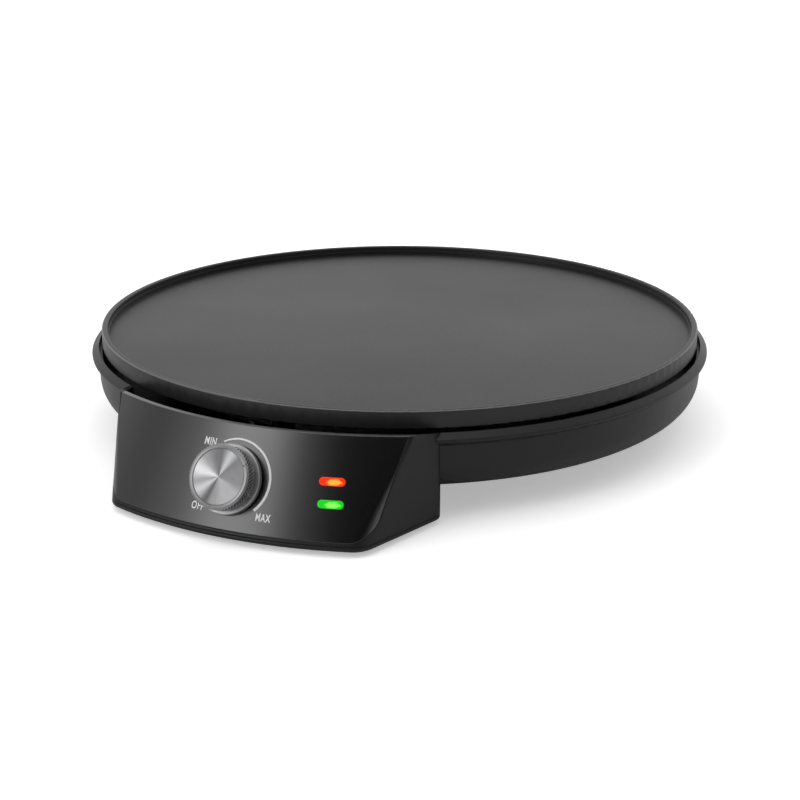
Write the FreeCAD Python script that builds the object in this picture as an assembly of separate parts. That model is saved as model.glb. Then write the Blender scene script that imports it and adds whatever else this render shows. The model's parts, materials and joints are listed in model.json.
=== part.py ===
import FreeCAD
import Part
import math
import os

# Electric crepe maker: a cast round hot plate on a shallow plastic base, with a raked control pod in front.
# Millimetres, +Z up, +X to the right seen from the front, the control pod towards -Y.
# Drawn about the plate's axis with the table at z = 0, then moved back to the centre of its footprint.

# Hot plate
plate_radius = 165.0
plate_top_z = 55.0
rim_width = 3.3
rim_step_drop = 2.9
rim_step_width = 0.7
surface_depth = 4.8
plate_skirt_height = 9.1
rim_edge_radius = 0.9
plate_boss_radius = 7.0
plate_boss_circle = 70.0
plate_boss_bottom_z = 34.0
plate_boss_angles = (90.0, 210.0, 330.0)

# Tubular heating element, half sunk in a cast rib under the plate
element_circle = 104.0
element_radius = 3.3
element_gap_angle = 60.0
element_bend_radius = 9.0
element_rib_width = 15.0
element_rib_height = 3.6
element_fit = 0.1
element_pin_radius = 1.6
element_pin_length = 8.0
element_tail_z = 29.0

# Heat shield
shield_inset = 25.0
shield_radius = plate_radius - shield_inset
earth_screw_place = (-34.0, 58.0)
earth_hole_radius = 9.0
shield_thickness = 0.6
shield_rim_height = 6.0

# Base bowl
wall = 2.4
bowl_gap = 2.8
bowl_wall_radius = plate_radius + bowl_gap
bowl_bottom_z = 15.2
bowl_draft = 1.0
bowl_corner_radius = 13.4
flange_under_z = 38.8
flange_width = 3.0
flange_radius = bowl_wall_radius + flange_width
flange_edge_z = 41.4
flange_edge_height = 1.1
flange_lip_gap = 2.0
flange_lip_radius = plate_radius + flange_lip_gap
flange_lip_z = 45.1
trough_z = 41.5
flange_edge_rounding = 0.5
post_radius = 7.0
post_top_z = 26.0
post_web = 6.0
spacer_radius = 5.0
plate_screw_top_z = 42.0
vent_count = 5
vent_width = 4.0
vent_length = 34.0
vent_pitch = 13.0
vent_y = 30.0

# Control pod: a cone around the plate's axis, cut by two upright side planes
pod_lean = 28.0
pod_reach = 9.1
pod_top_radius = flange_radius + pod_reach
pod_top_z = 48.4
pod_half_width = 70.8
pod_side_flare = 0.373
pod_side_reach = pod_half_width + pod_side_flare * pod_top_radius
pod_overlap = 27.8
pod_rear_y = pod_overlap - bowl_wall_radius
pod_floor_z = 4.9
pod_front_wall = 4.4
pod_front_corner_top = 1.2
pod_front_corner_low = 10.0
pod_rear_corner = 6.0
pod_recess_z = 41.0
pod_passage_half_width = 46.0
pod_passage_top_z = 37.5

# Pod cover under the pod
cover_bottom_z = 2.2
cover_gap = 0.25
cover_thickness = 2.3
cover_edge_rounding = 1.5

# Glossy control panel, flush in the pod's front
panel_thickness = 2.2
panel_half_width = 75.3
panel_side_slope = 0.178
panel_bottom_z = 6.3
panel_corner_radius = 11.0
panel_fit = 0.2
panel_boss_radius = 3.0
panel_boss_height = 2.0
panel_screw_head_radius = 4.2
panel_boss_places = ((-20.5, 36.0), (20.5, 36.0), (-8.5, 14.5), (8.5, 14.5))

# Knob and thermostat on one raked axis
knob_z = 26.2
knob_gap = 0.7
knob_skirt_radius = 16.2
knob_skirt_height = 2.6
knob_cap_radius = 15.0
knob_height = 11.5
knob_face_radius = 12.6
knob_bevel = 1.0
knob_cap_wall = 0.9
knob_hub_radius = 6.0
shaft_radius = 3.0
shaft_flat = 1.0
shaft_fit = 0.05
shaft_tip = 8.2
shaft_flat_start = 0.2
shaft_inner = 16.0
spring_thickness = 0.3
spring_width = 3.2
thermostat_width = 21.0
thermostat_height = 19.0
thermostat_depth = 15.5
bracket_thickness = 0.8
bracket_length = 42.0
bracket_width = 18.0
bracket_screw_x = bracket_length / 2 - 4.5
neck_radius = 4.8
panel_knob_hole_radius = neck_radius + 0.4
pad_depth = 1.2
capsule_radius = 5.0
capsule_depth = 3.0
capsule_y = -3.5
tab_width = 6.3
tab_thickness = 0.8
tab_length = 7.5
tab_y = 4.2
tab_places = (-5.4, 5.4)
capillary_radius = 0.8
bulb_radius = 3.0
bulb_length = 44.0
bulb_centre_y = -70.0
rod_gap = 0.05

# Clips of the bulb and the fuse: what each holds, its place under the plate, and the side of its ear
clip_thickness = 0.6
clip_width = 9.0
clip_ear = 8.0
clip_hole_inset = 3.4
clip_screw_bite = 3.0
fuse_radius = 2.3
fuse_length = 16.0
fuse_lead_radius = 0.6
fuse_lead_length = 4.0
clip_seats = {
    "bulb": (bulb_radius, (0.0, bulb_centre_y), 1),
    "fuse": (fuse_radius, (-34.0, -62.0), 1),
}

# Indicator windows
lens_azimuth = 14.4
lens_places = (("power", 30.0), ("ready", 21.1))
lens_length = 11.7
lens_height = 3.7
lens_proud = 0.35
lens_fit = 0.1
lens_flange = 1.2
lens_flange_depth = 1.0
lens_sag = 0.15
lens_arm_gap = lens_sag + lens_flange_depth + 0.05
lamp_radius = 1.9
lamp_length = 7.0
lamp_back = -14.0
lamp_window_width = 20.0
lamp_window_height = 19.0

# Small fasteners
screw_m4_radius = 2.0
screw_m3_radius = 1.5
screw_fit = 0.05
screw_clearance = 0.25
m4_head_radius = 3.8
m4_head_height = 2.4
m3_head_radius = 2.8
m3_head_height = 2.0
m4_counterbore_radius = 4.3
cross_slot_width = 0.9
cross_slot_depth = 1.0

# Feet
foot_radius = 8.0
foot_stem_radius = 2.5
foot_stem_head = 3.3
foot_fit = 0.05
foot_edge_rounding = 0.6
foot_stem_length = 6.0
front_foot_x = 40.0
front_foot_y = -pod_top_radius - 0.1
rear_foot_x = 88.0
rear_foot_y = 96.0
leg_top_radius = 12.5
leg_bottom_radius = 10.0
cover_screw_front = (62.0, 3.9 - pod_top_radius)
cover_screw_rear = (68.0, pod_rear_y - 9.0)
cover_screw_places = [(side * x, y) for x, y in (cover_screw_front, cover_screw_rear) for side in (-1, 1)]
cover_screw_length = 8.0
cover_head_sink = 1.5
cover_head_height = 1.4
cover_post_radius = 4.2
cover_post_top_z = 27.5

# Cord gland and terminal block at the back
gland_z = 29.5
gland_bore_radius = 3.4
gland_neck_radius = 6.0
gland_flange_radius = 8.6
gland_flange_thickness = 1.7
gland_pad_radius = 10.5
gland_pad_y = bowl_wall_radius + 0.5
gland_pad_depth = 5.6
gland_barb_radius = 7.2
gland_barb_length = 2.4
gland_nose = 3.0
gland_fit = 0.05
block_width = 30.0
block_depth = 15.0
block_height = 13.0
block_y = bowl_wall_radius - 39.8
block_wire_height = 4.0
block_pitch = 9.0
block_screw_radius = 2.2
wire_radius = 1.1

lean = math.radians(pod_lean)
lean_slope = math.tan(lean)
floor_z = bowl_bottom_z + wall
surface_z = plate_top_z - surface_depth
plate_under_z = plate_top_z - plate_skirt_height
element_z = plate_under_z - element_rib_height
shield_z = plate_boss_bottom_z - shield_thickness
wire_floor_z = floor_z + wire_radius + 0.1
knob_radius_out = pod_top_radius + (pod_top_z - knob_z) * lean_slope
back_reach = flange_radius
front_reach = knob_radius_out + knob_height * math.cos(lean) + knob_face_radius * math.sin(lean)
axis_y = (front_reach - back_reach) / 2

z_axis = FreeCAD.Vector(0, 0, 1)
far = 400.0


def vec(x, y, z):
    return FreeCAD.Vector(x, y, z)


def on_circle(radius, angle, z):
    """A point at an angle in degrees, anticlockwise from +X."""
    return vec(radius * math.cos(math.radians(angle)), radius * math.sin(math.radians(angle)), z)


def turned(points):
    """The solid that a closed outline of (radius, z) points sweeps round the plate's axis."""
    outline = Part.makePolygon([vec(r, 0, z) for r, z in points] + [vec(points[0][0], 0, points[0][1])])
    return Part.Face(outline).revolve(vec(0, 0, 0), z_axis, 360)


def prism(points, low_z, high_z):
    """An upright block from a plan outline of (x, y) points."""
    outline = Part.makePolygon([vec(x, y, low_z) for x, y in points] + [vec(*points[0], low_z)])
    return Part.Face(outline).extrude(vec(0, 0, high_z - low_z))


def box(x0, x1, y0, y1, z0, z1):
    return Part.makeBox(x1 - x0, y1 - y0, z1 - z0, vec(x0, y0, z0))


def rod(radius, start, end):
    along = end - start
    return Part.makeCylinder(radius, along.Length, start, along)


def upright(radius, x, y, z0, z1):
    return Part.makeCylinder(radius, z1 - z0, vec(x, y, z0), z_axis)


def joined(shapes):
    whole = shapes[0].fuse(shapes[1:]) if len(shapes) > 1 else shapes[0]
    return whole.removeSplitter()


def edges_at(shape, test):
    """The edges whose box centre passes the test."""
    return [e for e in shape.Edges if test(e.BoundBox.Center, e)]


def placed(shape, placement):
    copy = shape.copy()
    copy.Placement = placement.multiply(copy.Placement)
    return copy


def panel_frame(azimuth, z):
    """Placement on the raked front: local z out of the panel, local y up it, local x to the right."""
    radius = pod_top_radius + (pod_top_z - z) * lean_slope
    turn = FreeCAD.Rotation(z_axis, azimuth)
    raked = turn.multiply(FreeCAD.Rotation(vec(1, 0, 0), 90 - pod_lean))
    return FreeCAD.Placement(turn.multVec(vec(0, -radius, z)), raked)


def tube(points, radius, bend):
    """A round wire along straight runs joined by tangent arcs, each no larger than its runs allow."""
    edges = []
    start = points[0]
    for i in range(1, len(points) - 1):
        before = points[i] - points[i - 1]
        after = points[i + 1] - points[i]
        half_turn = before.getAngle(after) / 2
        reach = min(bend * math.tan(half_turn), 0.45 * before.Length, 0.45 * after.Length)
        before.normalize()
        after.normalize()
        arc_start = points[i] - before * reach
        arc_end = points[i] + after * reach
        arc_radius = reach / math.tan(half_turn)
        to_centre = (after - before).normalize()
        centre = points[i] + to_centre * (arc_radius / math.cos(half_turn))
        arc_middle = centre - to_centre * arc_radius
        edges.append(Part.LineSegment(start, arc_start).toShape())
        edges.append(Part.Arc(arc_start, arc_middle, arc_end).toShape())
        start = arc_end
    edges.append(Part.LineSegment(start, points[-1]).toShape())
    path = Part.Wire(edges)
    ring = Part.Wire(Part.makeCircle(radius, points[0], points[1] - points[0]))
    return path.makePipeShell([ring], True, False)


def cone_radius(z, inset=0.0):
    """Radius of the pod's raked front at a height, moved in square to its face."""
    return pod_top_radius + (pod_top_z - z) * lean_slope - inset / math.cos(lean)


def pod_plan(inset):
    """The pod's plan between its side planes and its rear, open to the front."""
    side_inset = inset * math.hypot(1, pod_side_flare)
    front_y = -far
    rear_y = pod_rear_y - inset
    front_x = pod_side_reach + pod_side_flare * front_y - side_inset
    rear_x = pod_side_reach + pod_side_flare * rear_y - side_inset
    if front_x < 0:
        front_y = -(pod_side_reach - side_inset) / pod_side_flare
        front_x = 0.01
    return [(-front_x, front_y), (front_x, front_y), (rear_x, rear_y), (-rear_x, rear_y)]


def pod_block(low_z, high_z, side_inset, front_inset):
    """The space between the raked cone and the side planes, with sharp corners."""
    cone = turned([
        (0, low_z),
        (cone_radius(low_z, front_inset), low_z),
        (cone_radius(high_z, front_inset), high_z),
        (0, high_z),
    ])
    return cone.common(prism(pod_plan(side_inset), low_z - 1, high_z + 1))


def corner_rounded(block, side, rear, low_radius, top_radius):
    """The block with one upright corner rounded from a radius at its foot to one at its top."""
    split_y = pod_rear_y - 20
    low_z, high_z = block.BoundBox.ZMin, block.BoundBox.ZMax
    for edge in block.Edges:
        first = edge.valueAt(edge.FirstParameter)
        last = edge.valueAt(edge.LastParameter)
        full_height = abs(last.z - first.z) > 0.5 * (high_z - low_z)
        if full_height and first.x * side > 50 and (first.y > split_y) == rear:
            radii = (low_radius, top_radius) if first.z < last.z else (top_radius, low_radius)
            return block.makeFillet(radii[0], radii[1], [edge])
    return block


def pod_envelope():
    """Outside of the pod and its cover as one shape: the front corners tighten towards the top."""
    block = pod_block(cover_bottom_z, pod_top_z, 0, 0)
    for side in (-1, 1):
        block = corner_rounded(block, side, False, pod_front_corner_low, pod_front_corner_top)
        block = corner_rounded(block, side, True, pod_rear_corner, pod_rear_corner)
    return block


def between(shape, low_z, high_z):
    """The slice of a shape between two heights."""
    return shape.common(box(-far, far, -far, far, low_z, high_z))


def bowl_outer():
    """Outside of the bowl with its flange, solid to the axis."""
    body = turned([
        (0, bowl_bottom_z),
        (bowl_wall_radius - bowl_draft, bowl_bottom_z),
        (bowl_wall_radius, flange_under_z),
        (flange_radius, flange_edge_z),
        (flange_radius, flange_edge_z + flange_edge_height),
        (flange_lip_radius, flange_lip_z),
        (0, flange_lip_z),
    ])
    corner = edges_at(body, lambda c, e: e.BoundBox.ZLength < 0.1 and abs(c.z - bowl_bottom_z) < 0.1)
    corner = [e for e in corner if e.BoundBox.XLength > bowl_wall_radius]
    body = body.makeFillet(bowl_corner_radius, corner)
    outer_ring = edges_at(body, lambda c, e: abs(e.BoundBox.XLength / 2 - flange_radius) < 0.1)
    return body.makeFillet(flange_edge_rounding, outer_ring)


def bowl_inner():
    """Space inside the bowl and above its trough."""
    inner_radius = bowl_wall_radius - wall
    body = turned([
        (0, floor_z),
        (inner_radius - bowl_draft, floor_z),
        (inner_radius, trough_z),
        (flange_lip_radius, trough_z),
        (flange_lip_radius, flange_lip_z + 1),
        (0, flange_lip_z + 1),
    ])
    corner = edges_at(body, lambda c, e: e.BoundBox.ZLength < 0.1 and abs(c.z - floor_z) < 0.1)
    return body.makeFillet(bowl_corner_radius - wall, corner)


def pod_inner():
    """Space inside the pod, open to the cover below and to the bowl through a passage."""
    low = pod_block(pod_floor_z - 2, bowl_bottom_z, wall, pod_front_wall)
    for side in (-1, 1):
        low = corner_rounded(low, side, True, pod_rear_corner - wall, pod_rear_corner - wall)
    high = pod_block(bowl_bottom_z - 1, pod_recess_z - wall, wall, pod_front_wall)
    behind = upright(bowl_wall_radius, 0, 0, 0, far)
    passage = box(
        -pod_passage_half_width, pod_passage_half_width, -bowl_wall_radius - 5, pod_rear_y + 10,
        floor_z - 4, pod_passage_top_z
    )
    return joined([
        low, high.cut(behind), passage.common(pod_block(0, pod_passage_top_z, wall, pod_front_wall))
    ])


def pod_recess():
    """The dark trough behind the panel's top edge, and the step down behind it."""
    back_wall = panel_thickness + panel_fit
    shape = turned([
        (flange_lip_radius - 8, pod_recess_z),
        (cone_radius(pod_recess_z, pod_front_wall), pod_recess_z),
        (cone_radius(flange_lip_z, pod_front_wall), flange_lip_z),
        (cone_radius(flange_lip_z, back_wall), flange_lip_z),
        (cone_radius(pod_top_z + 1, back_wall), pod_top_z + 1),
        (flange_lip_radius - 8, pod_top_z + 1),
    ])
    return shape.common(prism(pod_plan(wall), pod_recess_z - 1, pod_top_z + 2))


def pod_shoulder():
    """What is taken off the pod's top so that its sides fall back to the flange."""
    return turned([
        (0, flange_lip_z),
        (flange_lip_radius + 1, flange_lip_z),
        (pod_top_radius - panel_thickness, pod_top_z),
        (pod_top_radius, pod_top_z),
        (pod_top_radius, pod_top_z + 10),
        (0, pod_top_z + 10),
    ])


def panel_outline(grow):
    """The panel's front outline, pushed through the pod's front, with its lower corners rounded."""
    top_z = pod_top_z + 5 * grow
    low_z = panel_bottom_z - grow
    low_half = panel_half_width - (pod_top_z - panel_bottom_z) * panel_side_slope + grow
    top_half = low_half + (top_z - low_z) * panel_side_slope
    front_y = -far
    corners = [(-low_half, low_z), (low_half, low_z), (top_half, top_z), (-top_half, top_z)]
    outline = Part.makePolygon(
        [vec(x, front_y, z) for x, z in corners] + [vec(corners[0][0], front_y, low_z)]
    )
    block = Part.Face(outline).extrude(vec(0, far - flange_lip_radius + 40, 0))
    rounded = edges_at(block, lambda c, e: e.BoundBox.YLength > 10 and abs(c.z - low_z) < 0.1)
    return block.makeFillet(panel_corner_radius + grow, rounded)


def panel_slab(inner_inset, grow):
    """The layer in front of an inset cone, inside the panel's outline."""
    core = turned([
        (0, -5),
        (cone_radius(-5, inner_inset), -5),
        (cone_radius(pod_top_z + 10, inner_inset), pod_top_z + 10),
        (0, pod_top_z + 10),
    ])
    return panel_outline(grow).cut(core)


def rear_leg(side):
    """A short tapered leg under the bowl that takes a rubber foot."""
    foot = vec(side * rear_foot_x, rear_foot_y, cover_bottom_z)
    return Part.makeCone(leg_bottom_radius, leg_top_radius, floor_z - cover_bottom_z - 0.5, foot, z_axis)


def gland_axis_rod(radius, y0, y1):
    return rod(radius, vec(0, y0, gland_z), vec(0, y1, gland_z))


def lamp_window():
    """Opening in the pod's front wall behind the indicator lenses."""
    middle_z = (lens_places[0][1] + lens_places[1][1]) / 2
    window = box(
        -lamp_window_width / 2, lamp_window_width / 2, -lamp_window_height / 2, lamp_window_height / 2,
        -20, -panel_thickness + 0.1
    )
    return placed(window, panel_frame(lens_azimuth, middle_z))


def housing_shell():
    """The bowl and the pod as thin walls, with the trough, the panel's pocket and the gland's pad."""
    pocket = panel_slab(panel_thickness + panel_fit / 2, panel_fit)
    bowl = bowl_outer().cut(bowl_inner()).cut(pod_inner()).cut(pod_recess())
    pod = between(pod_envelope(), pod_floor_z, pod_top_z)
    for space in (pod_shoulder(), bowl_inner(), pod_inner(), pod_recess(), pocket):
        pod = pod.cut(space)
    legs = [rear_leg(side) for side in (-1, 1)]
    pad = gland_axis_rod(gland_pad_radius, gland_pad_y - gland_pad_depth, gland_pad_y)
    return bowl.fuse(pod).fuse(legs + [pad])


def housing_posts():
    """Posts for the plate's screws and the cover's screws, and the thermostat's flat pad."""
    posts = []
    for angle in plate_boss_angles:
        place = on_circle(plate_boss_circle, angle, 0)
        posts.append(upright(post_radius, place.x, place.y, bowl_bottom_z + 1, post_top_z))
    for x, y in cover_screw_places:
        top_z = cover_post_top_z if y < pod_rear_y - 20 else bowl_bottom_z + 1
        post = upright(cover_post_radius, x, y, pod_floor_z, top_z)
        posts.append(post.common(pod_block(pod_floor_z, pod_top_z, 0.5 * wall, 0.8 * pod_front_wall)))
    half_length = bracket_length / 2 + 1
    half_width = bracket_width / 2 + 1
    pad = box(
        -half_length, half_length, -half_width, half_width, -pod_front_wall - pad_depth,
        -pod_front_wall + 0.8
    )
    posts.append(placed(pad, panel_frame(0, knob_z)))
    return posts


def housing_holes():
    """Every hole through the housing: screws, feet, gland, knob, lamps, panel bosses and vents."""
    knob_frame = panel_frame(0, knob_z)
    holes = [
        gland_axis_rod(gland_neck_radius + gland_fit, gland_pad_y - 20, gland_pad_y + 10), lamp_window()
    ]
    for side in (-1, 1):
        x = side * rear_foot_x
        holes.append(
            upright(foot_stem_radius + foot_fit, x, rear_foot_y, 0, cover_bottom_z + foot_stem_length)
        )
        screw_hole = upright(
            screw_m3_radius + screw_fit, side * bracket_screw_x, 0, -12, -panel_thickness - 0.8
        )
        holes.append(placed(screw_hole, knob_frame))
    for angle in plate_boss_angles:
        place = on_circle(plate_boss_circle, angle, 0)
        holes.append(upright(screw_m4_radius + screw_clearance, place.x, place.y, 0, far))
        holes.append(upright(m4_counterbore_radius, place.x, place.y, 0, post_top_z - post_web))
    for x, y in cover_screw_places:
        holes.append(upright(screw_m3_radius + screw_fit, x, y, 0, pod_floor_z + cover_screw_length))
    for azimuth, z in panel_boss_places:
        holes.append(placed(upright(panel_boss_radius + panel_fit, 0, 0, -12, 0), panel_frame(azimuth, z)))
    holes.append(placed(upright(neck_radius + screw_clearance, 0, 0, -12, 0), knob_frame))
    for i in range(vent_count):
        x = (i - (vent_count - 1) / 2) * vent_pitch
        half_length = vent_length / 2
        holes.append(
            box(
                x - vent_width / 2, x + vent_width / 2, vent_y - half_length, vent_y + half_length,
                0, floor_z + 1
            )
        )
    return holes


def base_housing():
    """One moulding: bowl, flange, pod, rear legs, posts and the gland's pad."""
    body = housing_shell().fuse(housing_posts()).removeSplitter()
    return body.cut(housing_holes())


def heating_plate():
    """Cast disc with a stepped rim, a rib that holds the element, and three bosses for its screws."""
    inner_radius = plate_radius - rim_width
    step_z = plate_top_z - rim_step_drop
    disc = turned([
        (0, plate_under_z),
        (plate_radius, plate_under_z),
        (plate_radius, plate_top_z),
        (inner_radius, plate_top_z),
        (inner_radius, step_z),
        (inner_radius - rim_step_width, step_z),
        (inner_radius - rim_step_width, surface_z),
        (0, surface_z),
    ])
    rounded = edges_at(
        disc,
        lambda c, e: abs(c.z - plate_top_z) < 0.1
        or (abs(c.z - plate_under_z) < 0.1 and e.BoundBox.XLength > plate_radius)
    )
    disc = disc.makeFillet(
        rim_edge_radius,
        [e for e in rounded if e.BoundBox.ZLength < 0.1 and e.BoundBox.XLength > plate_radius]
    )
    rib_half = element_rib_width / 2
    rib = turned([
        (element_circle - rib_half, element_z),
        (element_circle + rib_half, element_z),
        (element_circle + rib_half, plate_under_z + 1),
        (element_circle - rib_half, plate_under_z + 1),
    ])
    gap_reach = element_circle + element_rib_width
    gap_half = gap_reach * math.tan(math.radians(element_gap_angle / 2 + 6))
    gap = prism([(0, 0), (-gap_half, -gap_reach), (gap_half, -gap_reach)], element_z - 1, plate_under_z)
    groove = Part.makeTorus(element_circle, element_radius + element_fit, vec(0, 0, element_z), z_axis)
    bosses = []
    holes = []
    for angle in plate_boss_angles:
        place = on_circle(plate_boss_circle, angle, 0)
        bosses.append(upright(plate_boss_radius, place.x, place.y, plate_boss_bottom_z, plate_under_z + 1))
        holes.append(
            upright(
                screw_m4_radius + screw_fit, place.x, place.y,
                plate_boss_bottom_z - 1, plate_screw_top_z + 0.5
            )
        )
    for x, y in clip_screw_places().values():
        holes.append(
            upright(
                screw_m3_radius + screw_fit, x, y,
                plate_under_z - 1, plate_under_z + clip_screw_bite + 0.3
            )
        )
    return disc.fuse([rib.cut(gap)] + bosses).removeSplitter().cut([groove] + holes)


def element_path_end(side):
    """Where one end of the element's loop turns down, with its direction along the circle."""
    angle = -90 + side * element_gap_angle / 2
    place = on_circle(element_circle, angle, element_z)
    along = vec(side * math.sin(math.radians(angle)), -side * math.cos(math.radians(angle)), 0)
    return place, along


def heating_element():
    """Sheathed tube bent to an open circle, with both ends turned down."""
    right, right_along = element_path_end(1)
    left, left_along = element_path_end(-1)
    bend = element_bend_radius

    def down_arc(place, along):
        turn = math.sin(math.radians(45))
        middle = place + along * (bend * turn) - z_axis * (bend * (1 - turn))
        return middle, place + along * bend - z_axis * bend

    right_middle, right_low = down_arc(right, right_along)
    left_middle, left_low = down_arc(left, left_along)
    right_tail = vec(right_low.x, right_low.y, element_tail_z)
    left_tail = vec(left_low.x, left_low.y, element_tail_z)
    path = Part.Wire([
        Part.LineSegment(right_tail, right_low).toShape(),
        Part.Arc(right_low, right_middle, right).toShape(),
        Part.Arc(right, vec(0, element_circle, element_z), left).toShape(),
        Part.Arc(left, left_middle, left_low).toShape(),
        Part.LineSegment(left_low, left_tail).toShape(),
    ])
    ring = Part.Wire(Part.makeCircle(element_radius, right_tail, z_axis))
    return path.makePipeShell([ring], True, False)


def element_tail(side):
    place, along = element_path_end(side)
    end = place + along * element_bend_radius
    return vec(end.x, end.y, element_tail_z)


def element_terminals():
    """Steel pins and ceramic beads in the element's two ends."""
    pieces = []
    for side in (-1, 1):
        tail = element_tail(side)
        bead = upright(element_radius - 0.4, tail.x, tail.y, tail.z - 2, tail.z)
        pin = upright(element_pin_radius, tail.x, tail.y, tail.z - element_pin_length, tail.z - 2)
        pieces.append(joined([bead, pin]))
    return Part.makeCompound(pieces)


def heat_shield():
    """Thin pressed dish clamped under the plate's bosses, with holes for the tails and the capillary."""
    top_z = plate_boss_bottom_z
    rim_top_z = top_z + shield_rim_height
    dish = turned([
        (0, shield_z),
        (shield_radius, shield_z),
        (shield_radius, rim_top_z),
        (shield_radius - shield_thickness, rim_top_z),
        (shield_radius - shield_thickness, top_z),
        (0, top_z),
    ])
    holes = [box(-6, 6, -shield_radius - 2, -shield_radius + 12, shield_z - 1, rim_top_z + 1)]
    for angle in plate_boss_angles:
        place = on_circle(plate_boss_circle, angle, 0)
        holes.append(upright(screw_m4_radius + screw_clearance, place.x, place.y, 0, far))
    for side in (-1, 1):
        tail = element_tail(side)
        holes.append(upright(element_radius + 1.5, tail.x, tail.y, 0, far))
    x, y = earth_screw_place
    holes.append(upright(earth_hole_radius, x, y, 0, far))
    return dish.cut(holes)


def plate_spacers():
    """Steel sleeves between the housing's posts and the shield."""
    pieces = []
    for angle in plate_boss_angles:
        place = on_circle(plate_boss_circle, angle, 0)
        sleeve = upright(spacer_radius, place.x, place.y, post_top_z, shield_z)
        pieces.append(sleeve.cut(upright(screw_m4_radius + screw_clearance, place.x, place.y, 0, far)))
    return Part.makeCompound(pieces)


def pan_screw(radius, length, head_radius, head_height):
    """A pan-head screw standing on the origin plane: head below, shank above, cross slot in the head."""
    head = upright(head_radius, 0, 0, -head_height, 0)
    head = head.makeFillet(
        head_height * 0.4,
        edges_at(head, lambda c, e: c.z < -head_height + 0.1 and e.BoundBox.ZLength < 0.1)
    )
    shank = upright(radius, 0, 0, 0, length)
    slot_half = head_radius * 0.6
    half_width = cross_slot_width / 2
    low_z = -head_height - 1
    deep_z = -head_height + cross_slot_depth
    slots = [box(-slot_half, slot_half, -half_width, half_width, low_z, deep_z)]
    slots.append(box(-half_width, half_width, -slot_half, slot_half, low_z, deep_z))
    return joined([head, shank]).cut(slots)


def plate_screws():
    seat_z = post_top_z - post_web
    screw = pan_screw(screw_m4_radius, plate_screw_top_z - seat_z, m4_head_radius, m4_head_height)
    places = [on_circle(plate_boss_circle, angle, seat_z) for angle in plate_boss_angles]
    return Part.makeCompound([placed(screw, FreeCAD.Placement(p, FreeCAD.Rotation())) for p in places])


def control_panel():
    """Glossy skin flush in the pod's front, with a knob hole, two lens windows and four bosses behind."""
    panel = pod_envelope().common(panel_slab(panel_thickness, 0))
    bosses = []
    holes = [placed(upright(panel_knob_hole_radius, 0, 0, -12, 5), panel_frame(0, knob_z))]
    for azimuth, z in panel_boss_places:
        frame = panel_frame(azimuth, z)
        bosses.append(
            placed(
                upright(panel_boss_radius, 0, 0, -panel_thickness - panel_boss_height, -panel_thickness + 0.5),
                frame
            )
        )
        holes.append(placed(upright(screw_m3_radius + screw_fit, 0, 0, -panel_thickness - 3, -1.0), frame))
    for name, z in lens_places:
        holes.append(
            placed(
                pill(lens_length + 2 * lens_fit, lens_height + 2 * lens_fit, -6, 3),
                panel_frame(lens_azimuth, z)
            )
        )
    return panel.fuse(bosses).cut(holes)


def panel_screws():
    """Screws from inside the pod into the panel's bosses."""
    seat = -pod_front_wall - 0.15
    screw = pan_screw(screw_m3_radius, -seat - 1.3, panel_screw_head_radius, m3_head_height)
    pieces = []
    for azimuth, z in panel_boss_places:
        frame = panel_frame(azimuth, z)
        pieces.append(placed(placed(screw, FreeCAD.Placement(vec(0, 0, seat), FreeCAD.Rotation())), frame))
    return Part.makeCompound(pieces)


def pod_cover():
    """Flat cover under the pod; its rounded edge shows as a lip below the pod's wall."""
    top_z = pod_floor_z - cover_gap
    block = pod_envelope()
    low_edges = edges_at(block, lambda c, e: abs(c.z - cover_bottom_z) < 0.05 and e.BoundBox.ZLength < 0.05)
    plate = between(block.makeFillet(cover_edge_rounding, low_edges), 0, top_z)
    rib = pod_block(top_z - 1, pod_floor_z + 2, wall + panel_fit, pod_front_wall + panel_fit)
    rib = rib.cut(pod_block(0, pod_floor_z + 3, 2 * wall + panel_fit, pod_front_wall + wall + panel_fit))
    posts = [upright(cover_post_radius + 1, x, y, pod_floor_z - 0.1, far) for x, y in cover_screw_places]
    holes = [upright(screw_m3_radius + screw_clearance, x, y, 0, far) for x, y in cover_screw_places]
    holes += [
        upright(m3_head_radius + screw_clearance, x, y, 0, cover_bottom_z + cover_head_sink) for x,
        y in cover_screw_places
    ]
    holes += [
        upright(foot_stem_radius + foot_fit, side * front_foot_x, front_foot_y, 0, far)
        for side in (-1, 1)
    ]
    rear_rib_gap = box(-far, far, pod_rear_y - 12, 0, top_z + 0.01, far)
    rib = rib.cut(posts + [rear_rib_gap])
    return plate.fuse(rib).cut(holes)


def cover_screws():
    seat_z = cover_bottom_z + cover_head_sink
    screw = pan_screw(
        screw_m3_radius, pod_floor_z + cover_screw_length - 0.5 - seat_z, m3_head_radius,
        cover_head_height
    )
    return Part.makeCompound([
        placed(screw, FreeCAD.Placement(vec(x, y, seat_z), FreeCAD.Rotation())) for x,
        y in cover_screw_places
    ])


def rubber_foot(x, y, stem_top_z, head_z):
    """A round foot with a push-in stem; head_z is where the stem's retaining head starts, or None."""
    pad = upright(foot_radius, x, y, 0, cover_bottom_z)
    pad = pad.makeFillet(
        foot_edge_rounding, edges_at(pad, lambda c, e: abs(c.z) < 0.05 and e.BoundBox.ZLength < 0.05)
    )
    pieces = [pad, upright(foot_stem_radius, x, y, cover_bottom_z - 0.5, stem_top_z)]
    if head_z is not None:
        pieces.append(upright(foot_stem_head, x, y, head_z, stem_top_z))
    return joined(pieces)


def front_feet():
    top_z = pod_floor_z - cover_gap
    return Part.makeCompound([
        rubber_foot(side * front_foot_x, front_foot_y, top_z + 2, top_z) for side in (-1, 1)
    ])


def rear_feet():
    top_z = cover_bottom_z + foot_stem_length - 0.3
    return Part.makeCompound([
        rubber_foot(side * rear_foot_x, rear_foot_y, top_z, None) for side in (-1, 1)
    ])


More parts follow.
